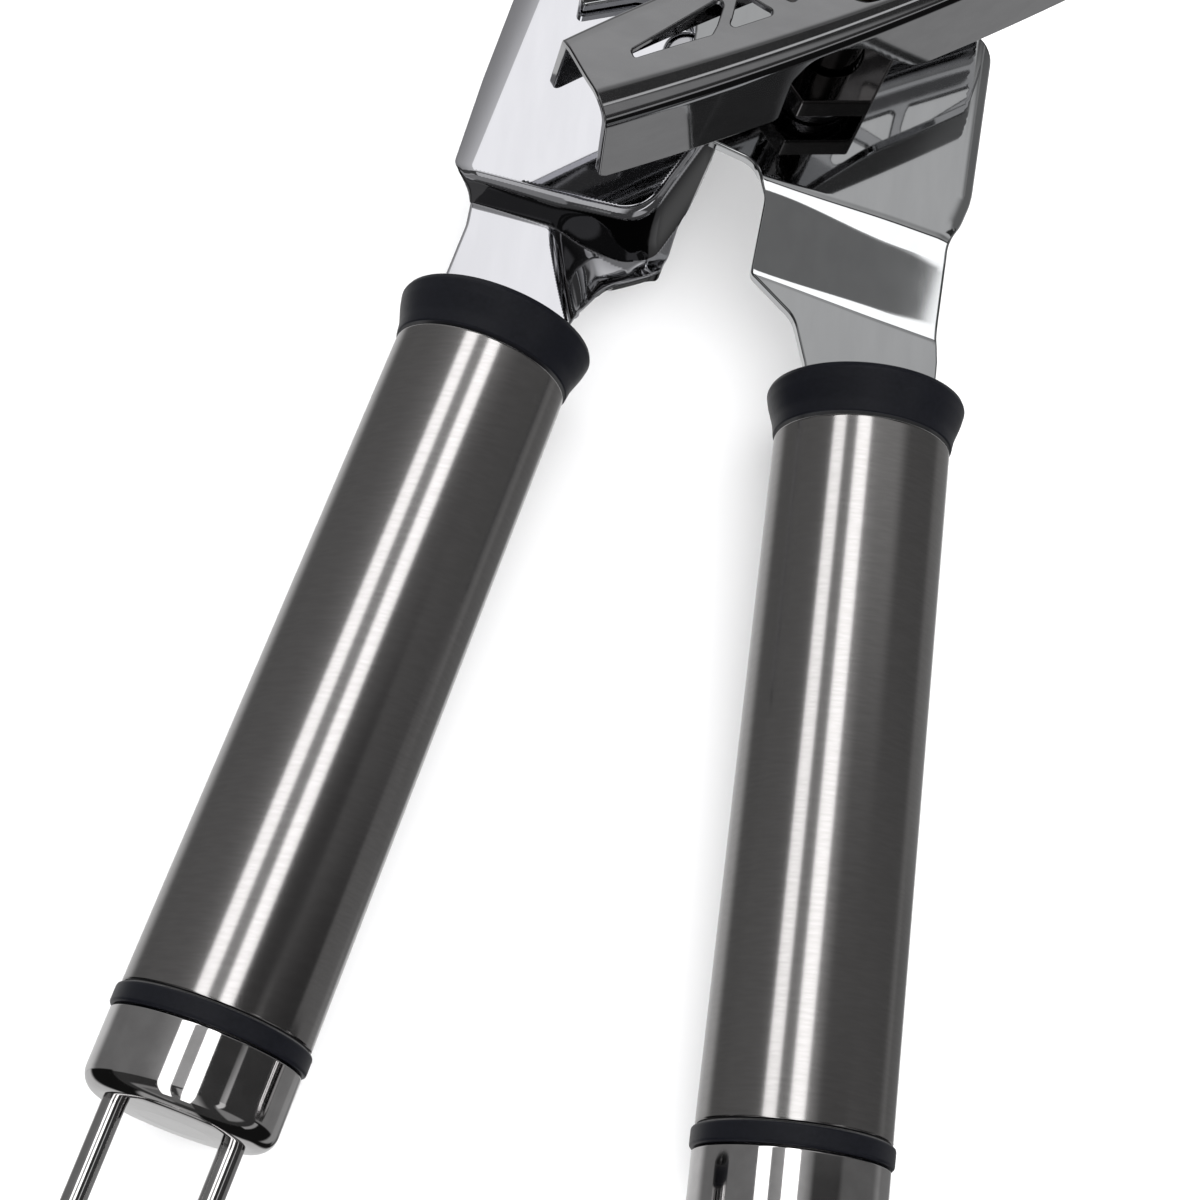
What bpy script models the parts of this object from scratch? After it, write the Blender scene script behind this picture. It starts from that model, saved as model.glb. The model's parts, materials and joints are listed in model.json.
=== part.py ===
"""Manual can opener: two tubular handles, a plate arm with a turning key and feed
wheel, and a pressed shell arm with a cutting wheel, joined by one pivot rivet.

Plan axes: X across the tool, Y along the plate arm's handle towards the head,
Z square to the plates, key side up.  Lengths are in millimetres until MM.
"""
import math

import bpy
import numpy as np
from mathutils import Matrix, Vector
from mathutils.geometry import delaunay_2d_cdt

MM = 0.001

# ---- driving dimensions -------------------------------------------------
OPENING_DEG = 12.78          # angle between the two handles as built
GAP = 0.3                    # air left between pieces that touch in real life
RUN = 0.05                   # radial clearance of a running fit
SHEET = 1.6                  # thickness of both arms
PLATE_MID = 5.8              # mid height of the plate arm's head
SHELL_MID = 3.8              # mid height of the shell arm's head
TANG_HALF = 7.4              # half width of the tangs in the handles
TANG_IN = 22.0               # how far a tang reaches into its handle

AXLE = (-10.2, 40.2)          # key axle
PIVOT = (-27.0, 52.0)        # pivot rivet
CUTTER = (-24.45, 40.65)     # cutting wheel, arms open as built
LEFT_ROOT = (-42.17, 1.47)   # top of the left tube on its axis

TUBE_R_TOP = 9.54
TUBE_R_END = 10.0
TUBE_WALL = 0.8
TUBE_LEN = 75.0
COLLAR_R = 10.8
COLLAR_H = 5.6
BAND_R = 10.35
BAND_LEN = 2.2
CAP_LEN = 8.3
CAP_ROUND = 2.3
WIRE_R = 1.25
WIRE_HALF_SPAN = 6.15
WIRE_OUT = 17.0              # straight part of the loop below the cap
WIRE_IN = 11.0

KEY_SHEET = 1.0
KEY_TOP = 30.0
KEY_HALF = 32.14
KEY_TURN_DEG = 33.5
KEY_FLAT = 3.7               # nominal half width of the flat top
KEY_WAIST = 5.9              # half width where the walls begin, at the axle
KEY_WAIST_END = 4.5          # and at the ends
KEY_BEND_R = 2.1             # mid bend radius at the axle
KEY_BEND_SLOPE = 0.027       # one end of a bend is open, the other tight
KEY_BEND_DEG = 85.0
KEY_WALL = 10.2
KEY_LOW = 17.0               # height of the walls' lower edges

AXLE_R = 3.25
COLLAR_TURN_DEG = 11.3
FEED_R = 7.3
FEED_TEETH = 20
CUT_R = 8.5
ROUND_STEPS = 48
SMALL_STEPS = 32


# ---- plain helpers ------------------------------------------------------
def clear_scene():
    for obj in list(bpy.data.objects):
        bpy.data.objects.remove(obj, do_unlink=True)


def material(name, color, metallic, roughness):
    mat = bpy.data.materials.get(name)
    if mat:
        return mat
    mat = bpy.data.materials.new(name)
    mat.use_nodes = True
    shader = mat.node_tree.nodes["Principled BSDF"]
    shader.inputs["Base Color"].default_value = (*color, 1.0)
    shader.inputs["Metallic"].default_value = metallic
    shader.inputs["Roughness"].default_value = roughness
    return mat


def brushed():
    return material("brushed_steel", (0.42, 0.41, 0.40), 1.0, 0.32)


def polished():
    return material("polished_steel", (0.72, 0.73, 0.75), 1.0, 0.08)


def plastic():
    return material("black_plastic", (0.02, 0.02, 0.025), 0.0, 0.42)


def hard_steel():
    return material("hardened_steel", (0.55, 0.55, 0.56), 1.0, 0.22)


def add_object(name, verts, faces, mat, origin=(0.0, 0.0, 0.0)):
    """Mesh in millimetres about the given origin, placed in metres."""
    base = Vector(origin)
    mesh = bpy.data.meshes.new(name)
    mesh.from_pydata([(Vector(v) - base) * MM for v in verts], [], faces)
    mesh.validate()
    mesh.update()
    obj = bpy.data.objects.new(name, mesh)
    obj.location = base * MM
    obj.data.materials.append(mat)
    bpy.context.collection.objects.link(obj)
    return obj


def bake_cut(obj, cutters):
    """Subtract the cutters from obj and drop them."""
    for cutter in cutters:
        mod = obj.modifiers.new("cut", "BOOLEAN")
        mod.operation = "DIFFERENCE"
        mod.solver = "EXACT"
        mod.object = cutter
    bpy.context.view_layer.update()
    graph = bpy.context.evaluated_depsgraph_get()
    mesh = bpy.data.meshes.new_from_object(obj.evaluated_get(graph))
    obj.modifiers.clear()
    obj.data = mesh
    for cutter in cutters:
        bpy.data.objects.remove(cutter, do_unlink=True)
    return obj


def vertical(center):
    """Frame of an axle: local Z is world Z."""
    return Matrix.Translation((center[0], center[1], 0.0))


def lathe(name, rings, frame, mat, origin, steps=ROUND_STEPS, bore=False):
    """Turn (radius, height) points about local Z.

    With a bore the points close on themselves, otherwise the first and last
    rings are capped.
    """
    verts = []
    for radius, height in rings:
        for i in range(steps):
            ang = 2.0 * math.pi * i / steps
            local = Vector((radius * math.cos(ang), radius * math.sin(ang), height))
            verts.append(frame @ local)
    faces = []
    count = len(rings)
    last = count if bore else count - 1
    for k in range(last):
        low = k * steps
        high = ((k + 1) % count) * steps
        for i in range(steps):
            j = (i + 1) % steps
            faces.append((low + i, low + j, high + j, high + i))
    if not bore:
        faces.append(tuple(reversed(range(steps))))
        faces.append(tuple((count - 1) * steps + i for i in range(steps)))
    return add_object(name, verts, faces, mat, origin)


def ring(name, inner, outer, low, high, frame, mat, origin, steps=ROUND_STEPS):
    rings = [(inner, low), (outer, low), (outer, high), (inner, high)]
    return lathe(name, rings, frame, mat, origin, steps, bore=True)


def box(name, low, high, frame):
    corners = [(x, y, z) for x in (low[0], high[0]) for y in (low[1], high[1])
               for z in (low[2], high[2])]
    faces = [(0, 1, 3, 2), (4, 6, 7, 5), (0, 4, 5, 1), (2, 3, 7, 6), (0, 2, 6, 4), (1, 5, 7, 3)]
    return add_object(name, [frame @ Vector(c) for c in corners], faces, polished())


def polygon_prism(name, outer, inner_r, low, high, center, mat, origin, steps=24):
    """Vertical prism of a polygon about the center with a round bore."""
    ring_pts = [(inner_r * math.cos(2 * math.pi * i / steps),
                 inner_r * math.sin(2 * math.pi * i / steps)) for i in range(steps)]

    def flat(u, v):
        return np.array((center[0] + u, center[1] + v, 0.5 * (low + high)))

    return sheet(name, outer, [ring_pts], [], flat, high - low, mat, origin)


# ---- sheet metal --------------------------------------------------------
def inside(point, loop):
    x, y = point
    result = False
    count = len(loop)
    for i in range(count):
        x1, y1 = loop[i]
        x2, y2 = loop[(i + 1) % count]
        if (y1 > y) != (y2 > y) and x < (x2 - x1) * (y - y1) / (y2 - y1) + x1:
            result = not result
    return result


def edge_distance(point, loop):
    p = np.array(point)
    a = np.array(loop)
    b = np.roll(a, -1, axis=0)
    d = b - a
    t = np.clip(((p - a) * d).sum(1) / np.maximum((d * d).sum(1), 1e-12), 0.0, 1.0)
    return float(np.sqrt((((a + d * t[:, None]) - p) ** 2).sum(1)).min())


def resample(loop, step):
    """Split long sides of a loop so that bends are followed."""
    out = []
    count = len(loop)
    for i in range(count):
        a = np.array(loop[i], float)
        b = np.array(loop[(i + 1) % count], float)
        parts = max(1, int(math.ceil(np.linalg.norm(b - a) / step)))
        out.extend(tuple(a + (b - a) * k / parts) for k in range(parts))
    return out


def rounded(points, steps=5):
    """Loop of (x, y, radius) corners turned into a polygon with round corners."""
    out = []
    count = len(points)
    for i in range(count):
        x, y, radius = points[i]
        p = np.array((x, y))
        if radius <= 0.0:
            out.append((x, y))
            continue
        a = np.array(points[i - 1][:2]) - p
        b = np.array(points[(i + 1) % count][:2]) - p
        la, lb = np.linalg.norm(a), np.linalg.norm(b)
        a, b = a / la, b / lb
        half = 0.5 * math.acos(max(-1.0, min(1.0, float(a @ b))))
        reach = min(radius / math.tan(half), 0.49 * la, 0.49 * lb)
        radius = reach * math.tan(half)
        mid = (a + b) / np.linalg.norm(a + b)
        center = p + mid * radius / math.sin(half)
        start = p + a * reach - center
        end = p + b * reach - center
        a0 = math.atan2(start[1], start[0])
        turn = math.atan2(end[1], end[0]) - a0
        turn = (turn + math.pi) % (2.0 * math.pi) - math.pi
        for k in range(steps + 1):
            ang = a0 + turn * k / steps
            out.append((center[0] + radius * math.cos(ang), center[1] + radius * math.sin(ang)))
    return out


def circle(cx, cy, radius, steps=24):
    return [(cx + radius * math.cos(2 * math.pi * i / steps),
             cy + radius * math.sin(2 * math.pi * i / steps)) for i in range(steps)]


def surface_normal(surface, u, v, eps=0.02):
    du = surface(u + eps, v) - surface(u - eps, v)
    dv = surface(u, v + eps) - surface(u, v - eps)
    n = np.cross(du, dv)
    return n / np.linalg.norm(n)


def sheet(name, outer, holes, inner_points, surface, thickness, mat, origin):
    """Flat blank pressed onto a surface and given a thickness about it."""
    loops = [outer] + holes
    points, edges = [], []
    for loop in loops:
        start = len(points)
        points.extend(loop)
        count = len(loop)
        edges.extend((start + i, start + (i + 1) % count) for i in range(count))
    for p in inner_points:
        if inside(p, outer) and not any(inside(p, h) for h in holes):
            if min(edge_distance(p, loop) for loop in loops) > 0.45:
                points.append(p)
    result = delaunay_2d_cdt([Vector(p) for p in points], edges, [], 0, 1e-6)
    flat, tris = result[0], []
    for tri in result[2]:
        c = sum((flat[i] for i in tri), Vector((0.0, 0.0))) / 3.0
        if inside(c, outer) and not any(inside(c, h) for h in holes):
            a, b, d = (flat[i] for i in tri)
            turn = (b - a).cross(d - a)
            if abs(turn) > 1e-4:
                tris.append(tuple(tri) if turn > 0 else tuple(reversed(tri)))
    used = sorted({i for tri in tris for i in tri})
    index = {old: new for new, old in enumerate(used)}
    tris = [tuple(index[i] for i in tri) for tri in tris]
    upper, lower = [], []
    for old in used:
        u, v = flat[old]
        p = surface(u, v)
        n = surface_normal(surface, u, v)
        upper.append(p + n * thickness / 2.0)
        lower.append(p - n * thickness / 2.0)
    count = len(used)
    faces = list(tris) + [tuple(count + i for i in reversed(tri)) for tri in tris]
    directed = {(tri[k], tri[(k + 1) % 3]) for tri in tris for k in range(3)}
    for a, b in directed:
        if (b, a) not in directed:
            faces.append((b, a, count + a, count + b))
    return add_object(name, [tuple(p) for p in upper + lower], faces, mat, origin)


def soft_step(t):
    t = min(1.0, max(0.0, t))
    return t * t * (3.0 - 2.0 * t)


def soft_ramp(t, rho):
    """max(t, 0) with its corner rounded over +-rho."""
    if t <= -rho:
        return 0.0
    if t >= rho:
        return t
    return (t + rho) ** 2 / (4.0 * rho)


def soft_min(a, b, rho):
    return a - soft_ramp(a - b, rho)


# ---- plate arm ----------------------------------------------------------
PLATE_OUTLINE = [
    (-TANG_HALF, -TANG_IN, 1.0), (TANG_HALF, -TANG_IN, 1.0), (TANG_HALF, 11.0, 2.0),
    (6.2, 22.5, 3.0), (8.0, 28.5, 8.0), (8.9, 47.5, 3.2), (4.0, 51.2, 6.0),
    (-12.0, 58.5, 10.0), (-26.0, 63.5, 9.0), (-36.8, 58.0, 8.0), (-37.4, 43.2, 0.6),
    (-31.0, 45.8, 2.0), (-24.2, 45.4, 2.5), (-24.6, 38.0, 8.0), (-28.2, 33.0, 3.5), (-21.3, 29.8, 3.0), (-16.2, 28.3, 3.0), (-14.35, 25.0, 2.0),
    (-14.3, 17.8, 1.0), (-9.0, 13.4, 4.0), (-7.2, 8.0, 4.0),
]
FOLD_LOW_Y = 15.4            # lower fold where it crosses the tang's middle line
FOLD_RUN = 8.2
FOLD_SLOPE = -0.19
FOLD_TIGHT = 0.4             # half length of the sharp part of a fold, in plan
FOLD_LEFT = 0.5              # half length of its slow part at the left end
FOLD_RIGHT_LOW = 0.9         # and at the right end, lower and upper fold
FOLD_RIGHT_TOP = 1.35
ROLL_R = 2.6                 # rolled right edge
ROLL_REACH = 1.8


def fold(d, wide):
    """max(d, 0) with its corner rounded, sharply below and slowly above."""
    return 0.55 * soft_ramp(d - 0.45 * wide, wide) + 0.45 * soft_ramp(d + 0.55 * wide, FOLD_TIGHT)


def plate_surface(x, y):
    d = y - FOLD_LOW_Y - FOLD_SLOPE * x
    part = soft_step((x + 13.0) / 14.0)
    low = fold(d, FOLD_LEFT + (FOLD_RIGHT_LOW - FOLD_LEFT) * part)
    top = fold(FOLD_RUN - d, FOLD_LEFT + (FOLD_RIGHT_TOP - FOLD_LEFT) * part)
    rise = PLATE_MID * (low - top + FOLD_RUN - d) / FOLD_RUN
    edge = 6.3 + (y - 22.5) * 0.3 if y < 28.5 else 8.1 + (y - 28.5) * 0.042
    reach = ROLL_REACH - (edge - x)
    drop = 0.0
    if reach > 0.0:
        reach = min(reach, ROLL_REACH + 0.15)
        drop = ROLL_R - math.sqrt(ROLL_R ** 2 - reach ** 2)
    return np.array((x, y, rise - drop * soft_step((y - 22.6) / 3.0)))


def plate_points():
    pts = []
    for d in (-1.6, -0.5, 0.7, 1.9, 4.2, 5.6, 7.0, 8.2, 9.4, 10.8):
        for x in np.arange(-13.5, 8.0, 2.7):
            pts.append((x, FOLD_LOW_Y + FOLD_SLOPE * x + d))
    for y in (22.9, 23.6, 24.3, 25.0, 25.8, 26.7, 27.6, *np.arange(29.0, 48.0, 2.2)):
        edge = 6.3 + (y - 22.5) * 0.3 if y < 28.5 else 8.1 + (y - 28.5) * 0.042
        pts.extend((edge - k, y) for k in (0.7, 1.4, 2.2, 2.6))
    for y in np.arange(28.0, 62.0, 7.0):
        pts.extend((x, y) for x in np.arange(-33.0, 5.0, 7.0))
    pts.extend((0.0, y) for y in np.arange(-16.0, 12.0, 7.0))
    return pts


def build_plate_arm():
    outer = resample(rounded(PLATE_OUTLINE), 2.6)
    holes = [circle(*AXLE, 5.0), circle(*PIVOT, 3.3), circle(0.0, -14.0, 1.8, 16)]
    return sheet("right_arm_plate", outer, holes, plate_points(), plate_surface, SHEET,
                 polished(), (0.0, 0.0, 0.0))


# ---- shell arm ----------------------------------------------------------
LEFT_ANG = math.radians(OPENING_DEG)
LEFT_UP = np.array((math.sin(LEFT_ANG), math.cos(LEFT_ANG)))
LEFT_SIDE = np.array((math.cos(LEFT_ANG), -math.sin(LEFT_ANG)))


def left_xy(side, up):
    p = np.array(LEFT_ROOT) + side * LEFT_SIDE + up * LEFT_UP
    return float(p[0]), float(p[1])


SHELL_OUTLINE = [
    (*left_xy(-7.1, -TANG_IN), 1.0), (*left_xy(7.1, -TANG_IN), 1.0), (*left_xy(7.1, 9.6), 5.0),
    (*left_xy(9.0, 15.2), 6.0), (*left_xy(14.4, 20.0), 1.2), (-22.6, 24.5, 8.0),
    (-20.4, 32.0, 10.0), (-17.9, 42.0, 10.0), (-17.3, 56.0, 8.0), (-24.0, 64.4, 8.0),
    (-39.0, 62.0, 10.0), (-43.6, 47.0, 12.0), (-46.2, 34.0, 20.0), (-48.1, 22.9, 1.2),
    (-45.8, 21.2, 1.5), (*left_xy(-7.3, 15.0), 6.0),
]
RIM_A, RIM_B = np.array((-45.4, 21.9)), np.array((-27.8, 20.4))
WALL_A, WALL_B = np.array((-26.8, 21.2)), np.array((-23.1, 28.6))
ROLL_A, ROLL_B = np.array((-44.6, 27.0)), np.array((-40.3, 46.0))
WALL_RUN = 1.6
RIM_CORNER = 3.0             # roundness of the raised face's lower right corner
RIM_FOLD = 0.55
WEB_DROP = 4.3
FLANGE_SLOPE = 0.65
WEB_BORDER = [left_xy(7.1, 9.6), left_xy(9.0, 15.2), left_xy(14.4, 20.0), (-22.6, 24.5),
              (-20.4, 32.0)]
SHELL_ROLL_R = 4.7


def unit(v):
    return v / np.linalg.norm(v)


def left_of(point, a, b):
    """Distance to the left of the line from a to b."""
    d = unit(b - a)
    q = point - a
    return float(d[0] * q[1] - d[1] * q[0])


def shell_inner(p):
    """How far p lies inside the raised face, past its rounded lower right corner."""
    return soft_min(left_of(p, RIM_A, RIM_B), left_of(p, WALL_A, WALL_B), RIM_CORNER)


def rim_point(inner, place):
    """The point of that distance, at a place counted along the rim from its corner."""
    a = inner + soft_ramp(place, RIM_CORNER)
    rim, wall = unit(RIM_B - RIM_A), unit(WALL_B - WALL_A)
    rows = np.array(((-rim[1], rim[0]), (-wall[1], wall[0])))
    ends = np.array((a + rows[0] @ RIM_A, a - place + rows[1] @ WALL_A))
    return tuple(np.linalg.solve(rows, ends))


def shell_level(p):
    """0 on the web, 1 on the raised face."""
    inner = shell_inner(p)
    run = WALL_RUN * (0.5 + 0.5 * soft_step((p[0] + 46.0) / 12.0))
    wall = (soft_ramp(inner + run, RIM_FOLD) - soft_ramp(inner, RIM_FOLD)) / run
    joined = soft_step((p[1] - 30.5) / 4.0)
    return 1.0 - (1.0 - wall) * (1.0 - joined)


def border_distance(p):
    best = 1e9
    for a, b in zip(WEB_BORDER, WEB_BORDER[1:]):
        a, b = np.array(a), np.array(b)
        d = b - a
        t = min(1.0, max(0.0, float((p - a) @ d) / float(d @ d)))
        best = min(best, float(np.linalg.norm(p - (a + t * d))))
    return best


def tang_bound(up):
    """Where the flat tang gives way to the web, measured across the handle."""
    short = max(0.0, 18.6 - up)
    return 1.5 + 0.50 * short + 0.008 * short ** 2


def shell_dip(p):
    """Web pressed down between the tang and the outer border, level at both."""
    q = p - np.array(LEFT_ROOT)
    side, up = float(q @ LEFT_SIDE), float(q @ LEFT_UP)
    reach = soft_ramp(side - tang_bound(up), 0.8)
    width = reach + border_distance(p)
    part = min(1.0, reach / max(width, 1e-6))
    depth = WEB_DROP * (1.0 - math.exp(-width / 4.5)) * (1.0 - (1.0 - part) ** 1.6)
    flange = soft_ramp(-left_of(p, WALL_A, WALL_B) - 0.9, 0.4)
    return depth + FLANGE_SLOPE * flange * soft_step((p[1] - 17.0) / 4.0)


def shell_surface(x, y):
    p = np.array((x, y))
    out = left_of(p, ROLL_A, ROLL_B)
    reach = min(max(0.0, out), 4.15)
    drop = SHELL_ROLL_R - math.sqrt(SHELL_ROLL_R ** 2 - reach ** 2)
    level = shell_level(p)
    z = (SHELL_MID - drop) * level
    if y < 35.0:
        z -= shell_dip(p) * (1.0 - level)
    return np.array((x, y, z))


def shell_points():
    pts = []
    for inner in (0.7, 0.1, -0.5, -1.1, -1.7, -2.3, -2.9):
        pts.extend(rim_point(inner, place) for place in np.arange(-18.0, 13.0, 1.7))
    roll = (ROLL_B - ROLL_A) / np.linalg.norm(ROLL_B - ROLL_A)
    out = np.array((-roll[1], roll[0]))
    for k in (-0.2, 0.9, 1.8, 2.6, 3.3):
        for s in np.arange(-4.0, 36.0, 3.2):
            pts.append(tuple(ROLL_A + roll * s + out * k))
    for up in np.arange(9.0, 20.2, 1.5):
        for side in np.arange(0.5, 14.0, 1.5):
            pts.append(left_xy(side, up))
    for y in np.arange(29.0, 62.0, 6.5):
        pts.extend((x, y) for x in np.arange(-38.0, -20.0, 6.0))
    pts.extend(left_xy(0.0, up) for up in np.arange(-16.0, 10.0, 7.0))
    return pts


def build_shell_arm():
    outer = resample(rounded(SHELL_OUTLINE), 2.4)
    holes = [circle(*CUTTER, 2.8), circle(*PIVOT, 3.0 + RUN, ROUND_STEPS),
             circle(*left_xy(0.0, -14.0), 1.8, 16)]
    return sheet("left_arm_shell", outer, holes, shell_points(), shell_surface, SHEET,
                 polished(), (*PIVOT, 0.0))


# ---- key ----------------------------------------------------------------
BEND_LEN = KEY_BEND_R * math.radians(KEY_BEND_DEG)
BEND_END = KEY_FLAT + BEND_LEN
FOOT = BEND_END + KEY_WALL


def key_surface(s, w):
    """Point of the folded key for a place (s, w) on its flat blank."""
    side = 1.0 if w >= 0.0 else -1.0
    across = abs(w)
    fold = math.radians(KEY_BEND_DEG)
    waist = KEY_WAIST - (KEY_WAIST - KEY_WAIST_END) * (abs(s) / KEY_HALF) ** 2
    bend = KEY_BEND_R - KEY_BEND_SLOPE * s * side
    flat_half = waist - bend * math.sin(fold)
    mid_z = KEY_TOP - KEY_SHEET / 2.0
    if across <= KEY_FLAT:
        d, z = flat_half * across / KEY_FLAT, mid_z
    elif across <= BEND_END:
        ang = (across - KEY_FLAT) / KEY_BEND_R
        d = flat_half + bend * math.sin(ang)
        z = mid_z - bend * (1.0 - math.cos(ang))
    else:
        start_z = mid_z - bend * (1.0 - math.cos(fold))
        z = start_z - (start_z - KEY_LOW) * (across - BEND_END) / KEY_WALL
        d = waist + (start_z - z) / math.tan(fold)
    turn = math.radians(KEY_TURN_DEG)
    along = np.array((math.cos(turn), math.sin(turn)))
    outward = np.array((math.sin(turn), -math.cos(turn))) * side
    xy = np.array(AXLE) + along * s + outward * d
    return np.array((xy[0], xy[1], z))


def half_turned(points):
    return [(-s, -w) for s, w in points]


def key_outline():
    near = [(-KEY_HALF, FOOT, 1.2), (-11.3, FOOT, 0.8), (-10.9, BEND_END + 3.0, 2.0),
            (-9.2, BEND_END + 0.3, 2.0), (-5.4, BEND_END + 0.4, 3.0),
            (-2.0, BEND_END + 2.4, 5.0), (1.0, BEND_END + 6.0, 5.0), (5.6, FOOT, 4.0),
            (KEY_HALF, FOOT, 1.2), (KEY_HALF + 0.8, BEND_END - 2.0, 6.0)]
    far = [(-s, -w, r) for s, w, r in near]
    return rounded(near + far)


def key_windows():
    left = [
        [(-27.2, 0.2, 0.3), (-27.2, -0.8, 0.3), (-15.1, -2.6, 0.5), (-18.7, 1.0, 0.5)],
        [(-16.9, 1.1, 0.5), (-13.7, -2.5, 0.5), (-11.2, 1.3, 0.5)],
        [(-11.8, -2.6, 0.5), (-5.6, -2.6, 0.5), (-9.0, 0.9, 0.5)],
    ]
    loops = []
    for window in left:
        loop = rounded(window, 3)
        loops.append(loop)
        loops.append(half_turned(loop))
    return loops


def key_points():
    pts = []
    rows = [KEY_FLAT + BEND_LEN * k / 4.0 for k in range(5)] + [BEND_END + 5.0]
    for s in np.arange(-KEY_HALF + 2.2, KEY_HALF - 1.0, 3.6):
        for w in rows:
            pts.append((s, w))
            pts.append((-s, -w))
    return pts


def build_key():
    outer = resample(key_outline(), 3.4)
    holes = key_windows() + [circle(0.0, 0.0, 2.5)]
    return sheet("turning_key", outer, holes, key_points(), key_surface, KEY_SHEET,
                 polished(), (*AXLE, 0.0))


# ---- axle group ---------------------------------------------------------
def build_axle_group():
    frame = vertical(AXLE)
    origin = (*AXLE, 0.0)
    neck = 2.2
    lathe("key_axle", [(2.0, -4.0), (2.4, -3.6), (2.4, -0.9), (AXLE_R, -0.9), (AXLE_R, 28.7),
                       (neck, 28.7), (neck, 30.3), (3.7, 30.3), (3.7, 30.8), (2.6, 31.6)],
          frame, hard_steel(), origin, SMALL_STEPS)
    hexagon = [(7.8 * math.cos(math.radians(60 * i + COLLAR_TURN_DEG)),
                7.8 * math.sin(math.radians(60 * i + COLLAR_TURN_DEG))) for i in range(6)]
    polygon_prism("axle_hex_collar", hexagon, AXLE_R + GAP, 9.6, 13.0, AXLE, polished(), origin)
    teeth = []
    for i in range(2 * FEED_TEETH):
        radius = FEED_R if i % 2 == 0 else FEED_R - 0.75
        ang = math.pi * i / FEED_TEETH
        teeth.append((radius * math.cos(ang), radius * math.sin(ang)))
    polygon_prism("feed_wheel", teeth, AXLE_R + GAP, -0.6, 2.6, AXLE, hard_steel(), origin)
    hex_nut = [(3.7 * math.cos(math.radians(60 * i)), 3.7 * math.sin(math.radians(60 * i)))
               for i in range(6)]
    polygon_prism("feed_wheel_nut", hex_nut, 2.4 + GAP, -3.5, -0.95, AXLE, hard_steel(), origin)
    base = (0.0, 0.0, 0.0)
    bore = AXLE_R + RUN
    lathe("axle_bush", [(bore, 3.9), (6.0, 3.9), (6.0, 4.7), (4.7, 4.7), (4.7, 9.3), (bore, 9.3)],
          frame, hard_steel(), base, SMALL_STEPS, bore=True)
    ring("thrust_washer", AXLE_R + RUN, 5.4, 2.9, 3.6, frame, hard_steel(), base, SMALL_STEPS)


# ---- pivot and cutter ---------------------------------------------------
def build_pivot():
    frame = vertical(PIVOT)
    base = (0.0, 0.0, 0.0)
    lathe("pivot_rivet", [(4.4, 0.9), (4.4, 1.7), (3.0, 1.7), (3.0, 6.9), (5.0, 6.9), (5.0, 7.4),
                          (4.4, 7.95), (3.0, 8.35), (1.2, 8.5)], frame, polished(), base,
          SMALL_STEPS)
    ring("pivot_washer", 3.0 + GAP, 5.6, 2.0, 2.7, frame, hard_steel(), base, SMALL_STEPS)


def build_cutter():
    frame = vertical(CUTTER)
    carrier = (*PIVOT, 0.0)
    lathe("cutter_stud", [(1.5, -2.75), (2.5, -2.75), (2.5, -0.2), (4.0, -0.2), (4.0, 2.7),
                          (2.5, 2.7), (2.5, 4.6), (1.5, 4.6)], frame, hard_steel(), carrier,
          SMALL_STEPS, bore=True)
    lathe("cutter_screw", [(4.2, -4.1), (4.4, -3.8), (4.4, -3.05), (1.2, -3.05), (1.2, 3.0)],
          frame, polished(), carrier, SMALL_STEPS)
    ring("cutter_washer", 2.8, 4.6, -0.8, -0.5, frame, hard_steel(), carrier, SMALL_STEPS)
    bore = 2.5 + RUN
    lathe("cutting_wheel", [(bore, -2.5), (5.4, -2.5), (6.4, -2.3), (CUT_R, -1.45), (CUT_R, -1.25),
                            (6.4, -1.1), (bore, -1.1)], frame, hard_steel(), (*CUTTER, 0.0),
          bore=True)


# ---- handles ------------------------------------------------------------
def handle_frame(root, angle):
    """Local Z runs up the handle to the head, local Y is world down."""
    up = Vector((math.sin(angle), math.cos(angle), 0.0))
    side = Vector((math.cos(angle), -math.sin(angle), 0.0))
    frame = Matrix.Identity(4)
    frame.col[0][:3] = side
    frame.col[1][:3] = (0.0, 0.0, -1.0)
    frame.col[2][:3] = up
    frame.translation = (root[0], root[1], 0.0)
    return frame


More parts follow.
